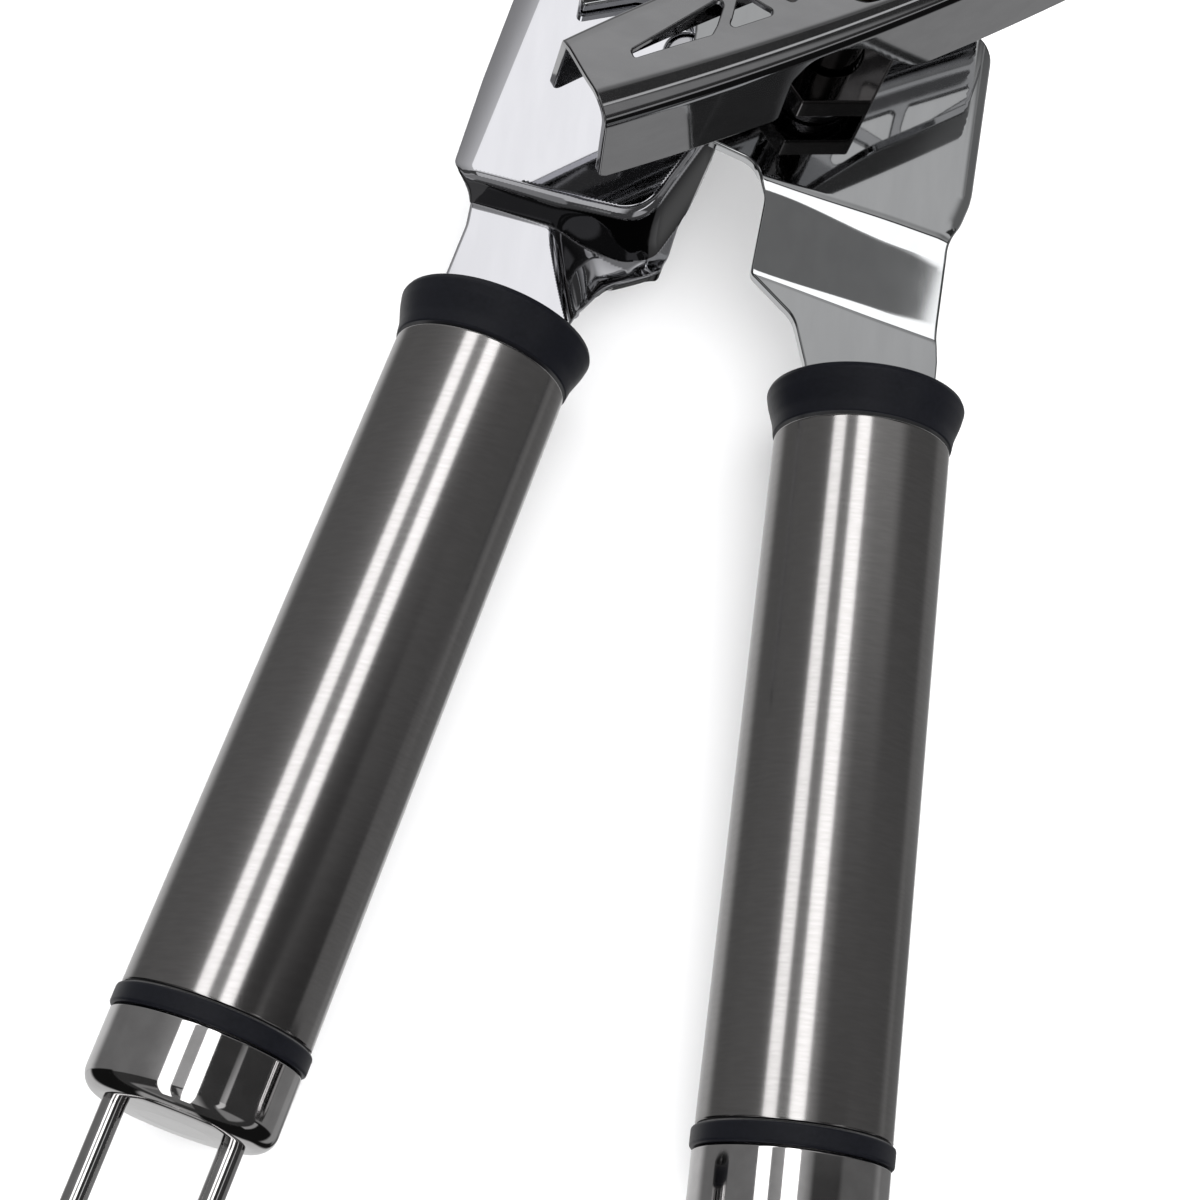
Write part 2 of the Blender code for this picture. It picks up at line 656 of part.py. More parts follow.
def build_handle(prefix, root, angle, origin, loop):
    frame = handle_frame(root, angle)
    tube_end = -TUBE_LEN
    wall = TUBE_WALL
    lathe(prefix + "_handle_tube",
          [(TUBE_R_TOP - wall, -0.15), (TUBE_R_TOP, -0.15), (TUBE_R_END, tube_end),
           (TUBE_R_END - wall, tube_end)], frame, brushed(), origin, bore=True)
    collar = lathe(prefix + "_collar",
                   [(8.3, -5.0), (8.3, 0.15), (9.7, 0.15), (9.85, 1.4), (10.2, 2.8),
                    (COLLAR_R - 0.1, 4.2), (COLLAR_R, 4.8), (COLLAR_R - 0.25, 5.3),
                    (COLLAR_R - 0.8, COLLAR_H)], frame, plastic(), origin)
    slot = (TANG_HALF + 0.35, SHEET / 2.0 + 0.35)
    bake_cut(collar, [box("slot_a", (-slot[0], -slot[1], -6.0), (slot[0], slot[1], 7.0), frame)])
    core = lathe(prefix + "_core",
                 [(7.6, -26.0), (8.3, -25.0), (8.3, -5.3)], frame, plastic(), origin)
    pin_frame = frame @ Matrix.Translation((0.0, 0.0, -14.0)) @ Matrix.Rotation(math.pi / 2, 4, "X")
    hole = lathe("pin_hole", [(1.8, -12.0), (1.8, 12.0)], pin_frame, plastic(), (0.0, 0.0, 0.0), 16)
    bake_cut(core, [box("slot_b", (-slot[0], -slot[1], -22.4), (slot[0], slot[1], 0.0), frame),
                    hole])
    lathe(prefix + "_tang_pin", [(1.5, -7.6), (1.5, 7.6)], pin_frame, hard_steel(), origin, 16)
    band_top = tube_end - 0.15
    band_low = band_top - BAND_LEN
    edge = 0.35
    lathe(prefix + "_band",
          [(8.3, band_low), (BAND_R - edge, band_low), (BAND_R, band_low + edge),
           (BAND_R, band_top - edge), (BAND_R - edge, band_top), (8.3, band_top)],
          frame, plastic(), origin, bore=True)
    build_cap(prefix, frame, band_low - 0.15, origin, loop)
    plug = lathe(prefix + "_end_plug",
                 [(8.0, band_low - CAP_LEN + 2.6), (8.0, tube_end + 8.0)],
                 frame, plastic(), origin)
    if loop:
        drills = [wire_drill(frame, side, band_low, tube_end) for side in (-1.0, 1.0)]
        bake_cut(plug, drills)
        build_loop(frame, band_low - 0.15 - CAP_LEN, origin)


def wire_drill(frame, side, band_low, tube_end):
    spot = frame @ Matrix.Translation((side * WIRE_HALF_SPAN, 0.0, 0.0))
    rings = [(WIRE_R + GAP, band_low - CAP_LEN - 4.0), (WIRE_R + GAP, tube_end + 1.0)]
    return lathe("wire_hole", rings, spot, plastic(), (0.0, 0.0, 0.0), 20)


def build_cap(prefix, frame, top, origin, loop):
    radius = TUBE_R_END + 0.05
    low = top - CAP_LEN
    rings = [(radius, top)]
    for k in range(5):
        ang = math.radians(90.0 * k / 4.0)
        rings.append((radius - CAP_ROUND * (1.0 - math.cos(ang)),
                      low + CAP_ROUND * (1.0 - math.sin(ang))))
    rings += [(4.0, low - 0.3), (3.2, low - 0.34), (3.2, low + 0.5), (4.0, low + 0.55)]
    inner = radius - TUBE_WALL
    for k in range(4, -1, -1):
        ang = math.radians(90.0 * k / 4.0)
        rings.append((inner - 1.5 * (1.0 - math.cos(ang)),
                      low + 0.85 + 1.5 * (1.0 - math.sin(ang))))
    rings.append((inner, top))
    center = [r for r in rings if r[0] > 3.3]
    outer_chain = center[:center.index((4.0, low - 0.3)) + 1]
    inner_chain = center[center.index((4.0, low + 0.55)):]
    cap = solid_cup(prefix + "_end_cap", outer_chain, inner_chain, frame, origin)
    if loop:
        drills = []
        for side in (-1.0, 1.0):
            spot = frame @ Matrix.Translation((side * WIRE_HALF_SPAN, 0.0, 0.0))
            rings = [(WIRE_R + GAP, low - 3.0), (WIRE_R + GAP, low + 3.0)]
            drills.append(lathe("cap_hole", rings, spot, plastic(), (0.0, 0.0, 0.0), 20))
        bake_cut(cap, drills)


def solid_cup(name, outer_chain, inner_chain, frame, origin, steps=ROUND_STEPS):
    """Cup closed at its low end: both chains end on a flat middle disc."""
    chain = list(reversed(outer_chain)) + list(reversed(inner_chain))
    return lathe(name, chain, frame, polished(), origin, steps)


def build_loop(frame, cap_low, origin):
    """Bent wire: two straight legs and a half round."""
    path = []
    for k in range(3):
        path.append((-WIRE_HALF_SPAN, cap_low + WIRE_IN - (WIRE_IN + WIRE_OUT) * k / 2.0))
    bottom = cap_low - WIRE_OUT
    for k in range(1, 16):
        ang = math.pi * k / 16.0
        path.append((-WIRE_HALF_SPAN * math.cos(ang), bottom - WIRE_HALF_SPAN * math.sin(ang)))
    for k in range(2, -1, -1):
        path.append((WIRE_HALF_SPAN, cap_low + WIRE_IN - (WIRE_IN + WIRE_OUT) * k / 2.0))
    sides = 16
    verts, faces = [], []
    pts = [np.array(p) for p in path]
    for i, p in enumerate(pts):
        ahead = pts[min(i + 1, len(pts) - 1)] - pts[max(i - 1, 0)]
        ahead = ahead / np.linalg.norm(ahead)
        normal = np.array((ahead[1], -ahead[0]))
        for j in range(sides):
            ang = 2.0 * math.pi * j / sides
            xz = p + normal * WIRE_R * math.cos(ang)
            verts.append(frame @ Vector((xz[0], WIRE_R * math.sin(ang), xz[1])))
    for i in range(len(pts) - 1):
        for j in range(sides):
            k = (j + 1) % sides
            faces.append((i * sides + j, i * sides + k, (i + 1) * sides + k, (i + 1) * sides + j))
    faces.append(tuple(reversed(range(sides))))
    faces.append(tuple((len(pts) - 1) * sides + j for j in range(sides)))
    add_object("hanging_loop", verts, faces, polished(), origin)


# ---- assembly -----------------------------------------------------------
def make_outward():
    """Turn any mesh whose signed volume is negative inside out."""
    for obj in bpy.data.objects:
        mesh = obj.data
        volume = 0.0
        for poly in mesh.polygons:
            first = mesh.vertices[poly.vertices[0]].co
            for k in range(1, len(poly.vertices) - 1):
                b = mesh.vertices[poly.vertices[k]].co
                c = mesh.vertices[poly.vertices[k + 1]].co
                volume += first.dot(b.cross(c))
        if volume < 0.0:
            mesh.flip_normals()


def rest_on_floor():
    """Bring the bottom middle of the bounding box to the world origin."""
    low, high = np.full(3, 1e9), np.full(3, -1e9)
    for obj in bpy.data.objects:
        for v in obj.data.vertices:
            co = np.array(v.co + obj.location)
            low, high = np.minimum(low, co), np.maximum(high, co)
    shift = Vector((-(low[0] + high[0]) / 2.0, -(low[1] + high[1]) / 2.0, -low[2]))
    for obj in bpy.data.objects:
        obj.location += shift


def main():
    clear_scene()
    build_plate_arm()
    build_shell_arm()
    build_key()
    build_axle_group()
    build_pivot()
    build_cutter()
    build_handle("right", (0.0, 0.0), 0.0, (0.0, 0.0, 0.0), False)
    build_handle("left", LEFT_ROOT, LEFT_ANG, (*PIVOT, 0.0), True)
    make_outward()
    rest_on_floor()


main()
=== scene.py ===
"""Looks of the manual can opener: finely meshed steel, plastic, wire and studio.

Shapes are worked out in the tool's own axes, in millimetres: X across, Y along the
plate arm's handle towards the head, Z square to the plates.  OFFSET, read from the
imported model's hinge, carries them into the row frame.
"""
import json
import math

import bpy
import numpy as np
from mathutils import Matrix, Vector
from mathutils.geometry import delaunay_2d_cdt


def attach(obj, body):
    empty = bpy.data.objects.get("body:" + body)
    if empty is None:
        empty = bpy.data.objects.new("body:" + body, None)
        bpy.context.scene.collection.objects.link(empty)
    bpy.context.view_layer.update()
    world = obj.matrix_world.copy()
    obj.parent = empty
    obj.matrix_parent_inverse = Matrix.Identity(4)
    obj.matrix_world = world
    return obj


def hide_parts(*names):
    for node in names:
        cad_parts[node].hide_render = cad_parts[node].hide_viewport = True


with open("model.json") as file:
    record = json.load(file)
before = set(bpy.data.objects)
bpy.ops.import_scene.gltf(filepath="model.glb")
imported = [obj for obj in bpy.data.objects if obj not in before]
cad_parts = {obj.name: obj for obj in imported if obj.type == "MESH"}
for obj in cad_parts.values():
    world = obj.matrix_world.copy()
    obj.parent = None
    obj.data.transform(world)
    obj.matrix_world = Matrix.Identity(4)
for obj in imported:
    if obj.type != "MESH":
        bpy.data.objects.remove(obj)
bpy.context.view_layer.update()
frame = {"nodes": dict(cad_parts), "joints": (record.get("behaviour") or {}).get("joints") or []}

MM = 0.001

# ---- driving dimensions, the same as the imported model's -------------------
OPENING = math.radians(12.78)
SHEET = 1.6
PLATE_MID = 5.8
SHELL_MID = 3.8
TANG_HALF = 7.4
TANG_IN = 22.0
AXLE = (-10.2, 40.2)
PIVOT = (-27.0, 52.0)
CUTTER = (-24.45, 40.65)
RIGHT_ROOT = (0.0, 0.0)
LEFT_ROOT = (-42.17, 1.47)

TUBE_R_TOP = 9.54
TUBE_R_END = 10.0
TUBE_WALL = 0.8
TUBE_LEN = 75.0
COLLAR_R = 10.8
COLLAR_H = 5.6
BAND_R = 10.35
BAND_LEN = 2.2
SLEEVE_IN = 8.3              # inner radius of collars and bands
CAP_LEN = 8.3
CAP_ROUND = 2.3
WIRE_R = 1.25
WIRE_HALF_SPAN = 6.15
WIRE_OUT = 17.0
WIRE_IN = 11.0

KEY_SHEET = 1.0
KEY_TOP = 30.0
KEY_HALF = 32.14
KEY_TURN = math.radians(33.5)
KEY_FLAT = 3.7
KEY_WAIST = 5.9
KEY_WAIST_END = 4.5
KEY_BEND_R = 2.1
KEY_BEND_SLOPE = 0.027
KEY_BEND = math.radians(85.0)
KEY_WALL = 10.2
KEY_LOW = 17.0

AXLE_R = 3.25
BUSH_R = 4.7
BUSH_TOP = 9.3
HEX_R = 7.8                  # to the corners of the hexagonal collar
HEX_LOW, HEX_HIGH = 9.6, 13.0
COLLAR_TURN = math.radians(11.3)
NUT_R = 3.7                  # to the corners of the feed wheel's nut
FEED_R = 7.3
FEED_ROOT_R = FEED_R - 0.75
FEED_TEETH = 20
CUT_R = 8.5

FINE = 144                   # steps round a large turned part
SMALL = 96                   # steps round a small one


def hinge_place():
    for joint in frame["joints"]:
        if joint["name"] == "handle_hinge":
            return [value / MM for value in joint["pos_m"]]
    raise RuntimeError("the packed model has no handle_hinge")


OFFSET = np.array(hinge_place()) - np.array((*PIVOT, 0.0))


# ---- mesh helpers ---------------------------------------------------------
def add_mesh(name, verts, normals, faces, mat, body, nodes):
    """Smooth mesh with exact vertex normals, in place of the named CAD nodes."""
    mesh = bpy.data.meshes.new(name)
    places = (np.array(verts) + OFFSET) * MM
    mesh.from_pydata([tuple(p) for p in places], [], faces)
    mesh.validate()
    mesh.update()
    mesh.polygons.foreach_set("use_smooth", [True] * len(mesh.polygons))
    if volume(mesh) < 0.0:
        mesh.flip_normals()
    mesh.normals_split_custom_set_from_vertices([tuple(n) for n in normals])
    obj = bpy.data.objects.new(name, mesh)
    obj.data.materials.append(mat)
    bpy.context.scene.collection.objects.link(obj)
    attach(obj, body)
    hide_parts(*nodes)
    return obj


def volume(mesh):
    total = 0.0
    for poly in mesh.polygons:
        first = mesh.vertices[poly.vertices[0]].co
        for k in range(1, len(poly.vertices) - 1):
            b = mesh.vertices[poly.vertices[k]].co
            c = mesh.vertices[poly.vertices[k + 1]].co
            total += first.dot(b.cross(c))
    return total


def unit(v):
    return v / np.linalg.norm(v)


def rounded(points, steps=6):
    """Loop of (x, y, radius) corners as a polygon with round corners."""
    return round_loop(points, steps)[0]


def round_loop(points, steps=6):
    """The round-cornered loop and its outward normals."""
    out, normals = [], []
    count = len(points)
    area = sum(points[i - 1][0] * points[i][1] - points[i][0] * points[i - 1][1]
               for i in range(count))
    sense = 1.0 if area > 0.0 else -1.0
    for i in range(count):
        x, y, radius = points[i]
        p = np.array((x, y))
        a = np.array(points[i - 1][:2]) - p
        b = np.array(points[(i + 1) % count][:2]) - p
        la, lb = np.linalg.norm(a), np.linalg.norm(b)
        a, b = a / la, b / lb
        before = sense * np.array((-a[1], a[0]))
        after = sense * np.array((b[1], -b[0]))
        if radius <= 0.0 or abs(float(np.cross(a, b))) < 1e-6:
            out.append((x, y))
            normals.append(tuple(unit(before + after)))
            continue
        half = 0.5 * math.acos(max(-1.0, min(1.0, float(a @ b))))
        reach = min(radius / math.tan(half), 0.49 * la, 0.49 * lb)
        radius = reach * math.tan(half)
        center = p + unit(a + b) * radius / math.sin(half)
        start = p + a * reach - center
        end = p + b * reach - center
        a0 = math.atan2(start[1], start[0])
        turn = math.atan2(end[1], end[0]) - a0
        turn = (turn + math.pi) % (2.0 * math.pi) - math.pi
        bulge = 1.0 if float(start @ before) > 0.0 else -1.0
        for k in range(steps + 1):
            ang = a0 + turn * k / steps
            ray = np.array((math.cos(ang), math.sin(ang)))
            out.append(tuple(center + radius * ray))
            normals.append(tuple(ray * bulge))
    return out, normals


def lathe(name, profile, place, mat, body, nodes, steps=FINE, arc=5):
    """Turn a closed (radius, height, corner radius) outline about local Z."""
    points, rims = round_loop(profile, arc)
    verts, normals, rows = [], [], []
    base = place.to_3x3()
    for (radius, height), (nr, nz) in zip(points, rims):
        if radius < 1e-6:
            rows.append([len(verts)])
            verts.append(place @ Vector((0.0, 0.0, height)))
            normals.append(base @ Vector((0.0, 0.0, 1.0 if nz > 0 else -1.0)))
            continue
        rows.append(list(range(len(verts), len(verts) + steps)))
        for i in range(steps):
            ang = 2.0 * math.pi * i / steps
            c, s = math.cos(ang), math.sin(ang)
            verts.append(place @ Vector((radius * c, radius * s, height)))
            normals.append(base @ Vector((nr * c, nr * s, nz)))
    faces = []
    for k in range(len(rows)):
        low, high = rows[k], rows[(k + 1) % len(rows)]
        if len(low) == 1 and len(high) == 1:
            continue
        for i in range(steps):
            j = (i + 1) % steps
            if len(low) == 1:
                faces.append((low[0], high[j], high[i]))
            elif len(high) == 1:
                faces.append((low[i], low[j], high[0]))
            else:
                faces.append((low[i], low[j], high[j], high[i]))
    return add_mesh(name, verts, normals, faces, mat, body, nodes)


def vertical(center):
    return Matrix.Translation((center[0], center[1], 0.0))


def circle(cx, cy, radius, steps=64):
    return [(cx + radius * math.cos(2 * math.pi * i / steps),
             cy + radius * math.sin(2 * math.pi * i / steps)) for i in range(steps)]


def resample(loop, step):
    out = []
    count = len(loop)
    for i in range(count):
        a = np.array(loop[i], float)
        b = np.array(loop[(i + 1) % count], float)
        parts = max(1, int(math.ceil(np.linalg.norm(b - a) / step)))
        out.extend(tuple(a + (b - a) * k / parts) for k in range(parts))
    return out


def inside(points, loop):
    """Which of the points lie inside the loop."""
    result = np.zeros(len(points), bool)
    x, y = points[:, 0], points[:, 1]
    a = np.array(loop)
    b = np.roll(a, -1, axis=0)
    for (x1, y1), (x2, y2) in zip(a, b):
        if y1 == y2:
            continue
        cross = ((y1 > y) != (y2 > y)) & (x < (x2 - x1) * (y - y1) / (y2 - y1) + x1)
        result ^= cross
    return result


def edge_distance(points, loop):
    a = np.array(loop)
    b = np.roll(a, -1, axis=0)
    best = np.full(len(points), 1e9)
    for p, q in zip(a, b):
        d = q - p
        t = np.clip(((points - p) @ d) / max(float(d @ d), 1e-12), 0.0, 1.0)
        gap = np.linalg.norm(points - (p + t[:, None] * d), axis=1)
        best = np.minimum(best, gap)
    return best


def loop_normals(loop):
    """Unit normals pointing to the left of a closed loop."""
    a = np.array(loop)
    ahead = np.roll(a, -1, axis=0) - a
    ahead /= np.linalg.norm(ahead, axis=1)[:, None]
    side = np.stack((-ahead[:, 1], ahead[:, 0]), axis=1)
    mixed = side + np.roll(side, 1, axis=0)
    mixed /= np.linalg.norm(mixed, axis=1)[:, None]
    short = np.clip((mixed * side).sum(1), 0.5, 1.0)
    return mixed / short[:, None]


def signed_area(loop):
    a = np.array(loop)
    b = np.roll(a, -1, axis=0)
    return 0.5 * float((a[:, 0] * b[:, 1] - b[:, 0] * a[:, 1]).sum())


def surface_frame(surface, u, v, eps=0.02):
    """Point, unit normal and the two tangents of a surface."""
    du = (surface(u + eps, v) - surface(u - eps, v)) / (2.0 * eps)
    dv = (surface(u, v + eps) - surface(u, v - eps)) / (2.0 * eps)
    return surface(u, v), unit(np.cross(du, dv)), du, dv


def hex_grid(low, high, spacing):
    rows = []
    step_y = spacing * 0.866
    for k in range(int((high[1] - low[1]) / step_y) + 1):
        shift = 0.5 * spacing * (k % 2)
        xs = np.arange(low[0] + shift, high[0], spacing)
        rows.append(np.stack((xs, np.full(len(xs), low[1] + k * step_y)), axis=1))
    return np.concatenate(rows)


def blank_triangles(loops, spacing, rows):
    """Points and triangles of a flat blank; loops[0] is outside, the rest are holes.

    rows, where given, is a set of points laid along the folds and the test for the
    strip of the blank that they fill in place of the even grid.
    """
    outer = np.array(loops[0])
    grid = hex_grid(outer.min(0), outer.max(0), spacing)
    if rows:
        points, filled = rows
        kept = [p for p in grid if not filled(p)]
        grid = np.concatenate((np.array(kept), np.array(points)))
    grid = grid[inside(grid, loops[0])]
    for hole in loops[1:]:
        grid = grid[~inside(grid, hole)]
    for loop in loops:
        grid = grid[edge_distance(grid, loop) > 0.45 * spacing]
    points, edges = [], []
    for loop in loops:
        start, count = len(points), len(loop)
        points.extend(Vector(p) for p in loop)
        edges.extend((start + i, start + (i + 1) % count) for i in range(count))
    points.extend(Vector(p) for p in grid)
    result = delaunay_2d_cdt(points, edges, [], 0, 1e-7)
    flat = np.array([tuple(p) for p in result[0]])
    tris = np.array([t for t in result[2]])
    mids = flat[tris].mean(axis=1)
    keep = inside(mids, loops[0])
    for hole in loops[1:]:
        keep &= ~inside(mids, hole)
    a, b, c = flat[tris[:, 0]], flat[tris[:, 1]], flat[tris[:, 2]]
    turn = (b[:, 0] - a[:, 0]) * (c[:, 1] - a[:, 1]) - (b[:, 1] - a[:, 1]) * (c[:, 0] - a[:, 0])
    keep &= np.abs(turn) > 1e-6
    tris[turn < 0] = tris[turn < 0][:, ::-1]
    source = {}
    for new, olds in enumerate(result[3]):
        for old in olds:
            source[old] = new
    return flat, tris[keep], source


def rim_profile():
    """Steps round an edge: shares outward and upward, and the side they belong to."""
    angles = [math.radians(d) for d in (67.5, 45.0, 22.5, 0.0)]
    upper = [(math.cos(a), math.sin(a), 1.0) for a in angles]
    return upper + [(c, -s, -1.0) for c, s, _ in reversed(upper)]


def rim_points(surface, loop, inward, half, edge, profile):
    """Points and normals of a sheet's round edge, one profile at each place of the loop."""
    points, normals = [], []
    for place, n in zip(loop, inward):
        point, normal, du, dv = surface_frame(surface, *place)
        out = -(du * n[0] + dv * n[1])
        out = unit(out - normal * float(out @ normal))
        for c, s, side in profile:
            middle = point - out * edge + normal * side * (half - edge)
            points.append(middle + edge * (out * c + normal * s))
            normals.append(out * c + normal * s)
    return points, normals


def joined(chain):
    """Quads that join each closed row of points to the next."""
    faces = []
    for a, b in zip(chain, chain[1:]):
        for i in range(len(a)):
            j = (i + 1) % len(a)
            faces.append((a[j], a[i], b[i], b[j]))
    return faces


def pressed(name, outer, holes, surface, thickness, spacing, edge, mat, body, nodes,
            rows=None, lean=None):
    """Sheet pressed onto a surface, with round edges of the given radius.

    lean, where given, tips the shading normal of the upper side at a place (u, v).
    """
    rims = [loop if (signed_area(loop) > 0) == (k == 0) else loop[::-1]
            for k, loop in enumerate([outer] + holes)]
    inward = [loop_normals(loop) for loop in rims]
    insets = [np.array(loop) + n * edge for loop, n in zip(rims, inward)]
    blanks = [[tuple(p) for p in loop] for loop in insets]
    flat, tris, source = blank_triangles(blanks, spacing, rows)
    used = sorted(set(tris.ravel().tolist()))
    index = {old: new for new, old in enumerate(used)}
    count = len(used)
    half = thickness / 2.0
    middles = [surface_frame(surface, *flat[old])[:2] for old in used]
    verts = [point + normal * half for point, normal in middles]
    verts += [point - normal * half for point, normal in middles]
    leans = [lean(*flat[old]) for old in used] if lean else [0.0] * count
    normals = [unit(normal + tip) for (_, normal), tip in zip(middles, leans)]
    normals += [-normal for _, normal in middles]
    faces = [tuple(index[i] for i in t) for t in tris]
    faces += [tuple(count + i for i in reversed(f)) for f in faces]
    profile = rim_profile()
    steps = len(profile)
    start = 0
    for loop, n in zip(rims, inward):
        places = range(len(loop))
        first = [index[source[start + i]] for i in places]
        block = len(verts)
        points, tips = rim_points(surface, loop, n, half, edge, profile)
        verts += points
        normals += tips
        between = [[block + i * steps + k for i in places] for k in range(steps)]
        faces += joined([first, *between, [count + i for i in first]])
        start += len(loop)
    return add_mesh(name, verts, normals, faces, mat, body, nodes)


def soft_step(t):
    t = min(1.0, max(0.0, t))
    return t * t * (3.0 - 2.0 * t)


def soft_ramp(t, rho):
    """max(t, 0) with its corner rounded over +-rho."""
    if t <= -rho:
        return 0.0
    if t >= rho:
        return t
    return (t + rho) ** 2 / (4.0 * rho)


def soft_min(a, b, rho):
    return a - soft_ramp(a - b, rho)


# ---- materials ------------------------------------------------------------
def new_material(name):
    mat = bpy.data.materials.new(name)
    mat.use_nodes = True
    tree = mat.node_tree
    return mat, tree, tree.nodes["Principled BSDF"]


def add_node(tree, kind, **values):
    node = tree.nodes.new(kind)
    for key, value in values.items():
        if key in node.inputs:
            node.inputs[key].default_value = value
        else:
            setattr(node, key, value)
    return node


def ramp(tree, low, high, color_low, color_high):
    node = tree.nodes.new("ShaderNodeValToRGB")
    node.color_ramp.elements[0].position = low
    node.color_ramp.elements[1].position = high
    node.color_ramp.elements[0].color = (*color_low, 1.0)
    node.color_ramp.elements[1].color = (*color_high, 1.0)
    return node


def stretched_noise(tree, scale, stretch, detail=4.0):
    """Noise in object space, drawn out by the stretch vector."""
    coords = tree.nodes.new("ShaderNodeTexCoord")
    mapping = tree.nodes.new("ShaderNodeMapping")
    mapping.inputs["Scale"].default_value = stretch
    noise = add_node(tree, "ShaderNodeTexNoise", Scale=scale, Detail=detail)
    tree.links.new(coords.outputs["Object"], mapping.inputs["Vector"])
    tree.links.new(mapping.outputs["Vector"], noise.inputs["Vector"])
    return noise


def smooth_range(tree, value, low, high, start=0.0, end=1.0):
    """Smooth step of a value: start at low and beyond, end at high and beyond."""
    node = add_node(tree, "ShaderNodeMapRange", interpolation_type="SMOOTHSTEP")
    for key, number in (("From Min", low), ("From Max", high), ("To Min", start),
                        ("To Max", end)):
        node.inputs[key].default_value = number
    tree.links.new(value, node.inputs["Value"])
    return node.outputs["Result"]


# Mask of the painted shade on steep walls: where it starts and where it ends.
PAINTED_SHADE_FLAT = (0.45, 0.60)     # z of the normal, from wall to flat
PAINTED_SHADE_AWAY = (-0.35, -0.20)   # y of the normal, from facing the handles to facing away


def painted_wall_shade(tree, tint, level):
    """Painted shade: dims the colour on steep faces that look towards the handles."""
    coords = tree.nodes.new("ShaderNodeTexCoord")
    split = tree.nodes.new("ShaderNodeSeparateXYZ")
    tree.links.new(coords.outputs["Normal"], split.inputs["Vector"])
    flat = smooth_range(tree, split.outputs["Z"], *PAINTED_SHADE_FLAT)
    away = smooth_range(tree, split.outputs["Y"], *PAINTED_SHADE_AWAY)
    keep = add_node(tree, "ShaderNodeMath", operation="MAXIMUM")
    tree.links.new(flat, keep.inputs[0])
    tree.links.new(away, keep.inputs[1])
    dim = smooth_range(tree, keep.outputs["Value"], 0.0, 1.0, level, 1.0)
    mixed = add_node(tree, "ShaderNodeMix", data_type="RGBA", blend_type="MULTIPLY")
    mixed.inputs["Factor"].default_value = 1.0
    colors = [socket for socket in mixed.inputs if socket.type == "RGBA"]
    tree.links.new(tint.outputs["Color"], colors[0])
    tree.links.new(dim, colors[1])
    return [socket for socket in mixed.outputs if socket.type == "RGBA"][0]


def steel(name, dark, light, rough, scale, stretch, wall=None):
    """Metal with fine drawn-out marks in colour and gloss; where wall is given, painted shade on
    its steep walls as well.
    """
    mat, tree, shader = new_material(name)
    shader.inputs["Metallic"].default_value = 1.0
    noise = stretched_noise(tree, scale, stretch)
    tint = ramp(tree, 0.35, 0.65, dark, light)
    tree.links.new(noise.outputs["Fac"], tint.inputs["Fac"])
    # wall, where given, is the least share of colour left under the painted wall shade.
    color = tint.outputs["Color"] if wall is None else painted_wall_shade(tree, tint, wall)
    tree.links.new(color, shader.inputs["Base Color"])
    gloss = add_node(tree, "ShaderNodeMapRange")
    gloss.inputs["To Min"].default_value = rough[0]
    gloss.inputs["To Max"].default_value = rough[1]
    tree.links.new(noise.outputs["Fac"], gloss.inputs["Value"])
    tree.links.new(gloss.outputs["Result"], shader.inputs["Roughness"])
    return mat


def plastic(name, color, rough, grain):
    mat, tree, shader = new_material(name)
    noise = stretched_noise(tree, grain, (1.0, 1.0, 1.0), 3.0)
    shader.inputs["Specular IOR Level"].default_value = 0.3
    tint = ramp(tree, 0.3, 0.7, [c * 0.8 for c in color], [c * 1.25 for c in color])
    tree.links.new(noise.outputs["Fac"], tint.inputs["Fac"])
    tree.links.new(tint.outputs["Color"], shader.inputs["Base Color"])
    gloss = add_node(tree, "ShaderNodeMapRange")
    gloss.inputs["To Min"].default_value = rough - 0.05
    gloss.inputs["To Max"].default_value = rough + 0.08
    tree.links.new(noise.outputs["Fac"], gloss.inputs["Value"])
    tree.links.new(gloss.outputs["Result"], shader.inputs["Roughness"])
    relief = add_node(tree, "ShaderNodeBump", Strength=0.25, Distance=0.00003)
    tree.links.new(noise.outputs["Fac"], relief.inputs["Height"])
    tree.links.new(relief.outputs["Normal"], shader.inputs["Normal"])
    return mat


# Both tubes are one brushed steel; the left copy is painted a little lighter: painted light.
TUBE_RIGHT = steel("tube_right", (0.285, 0.277, 0.274), (0.31, 0.302, 0.299), (0.14, 0.16), 3000.0,
                   (0.15, 1.0, 0.15))
TUBE_LEFT = steel("tube_left", (0.305, 0.296, 0.294), (0.33, 0.321, 0.319), (0.14, 0.16), 3000.0,
                  (0.15, 1.0, 0.15))
# Plate and shell arms are one polished steel: the shell's copy is painted lighter and bluer,
# painted light and a painted bluish reflection.
PLATE_STEEL = steel("plate_steel", (0.61, 0.62, 0.63), (0.64, 0.65, 0.66), (0.03, 0.05), 500.0,
                    (1.0, 0.2, 1.0))
# Shell steel with painted shade on its steep walls, down to a tenth of the colour.
SHELL_STEEL = steel("shell_steel", (0.83, 0.83, 0.87), (0.86, 0.86, 0.90), (0.03, 0.05), 500.0,
                    (1.0, 0.2, 1.0), wall=0.10)
KEY_STEEL = steel("key_steel", (0.42, 0.42, 0.43), (0.45, 0.45, 0.46), (0.05, 0.08), 500.0,
                  (0.4, 1.0, 1.0))
BRIGHT_STEEL = steel("bright_steel", (0.52, 0.51, 0.51), (0.58, 0.57, 0.57), (0.04, 0.08), 400.0,
                     (1.0, 1.0, 1.0))
# Axle and hex collar steel painted near black: painted shade under the key, darker than the metal
# itself.
HUB_SHADED_STEEL = steel("hub_shaded_steel", (0.10, 0.095, 0.095), (0.13, 0.125, 0.125), (0.05, 0.09), 500.0,
                  (1.0, 1.0, 1.0))
HARD_STEEL = steel("hard_steel", (0.24, 0.24, 0.25), (0.30, 0.30, 0.31), (0.10, 0.18), 900.0,
                   (1.0, 1.0, 0.2))
BLACK_PLASTIC = plastic("black_plastic", (0.0022, 0.0026, 0.0050), 0.38, 2500.0)

PLATE, SHELL, KEY, CUT = "plate_side", "shell_side", "key_train", "cutter"


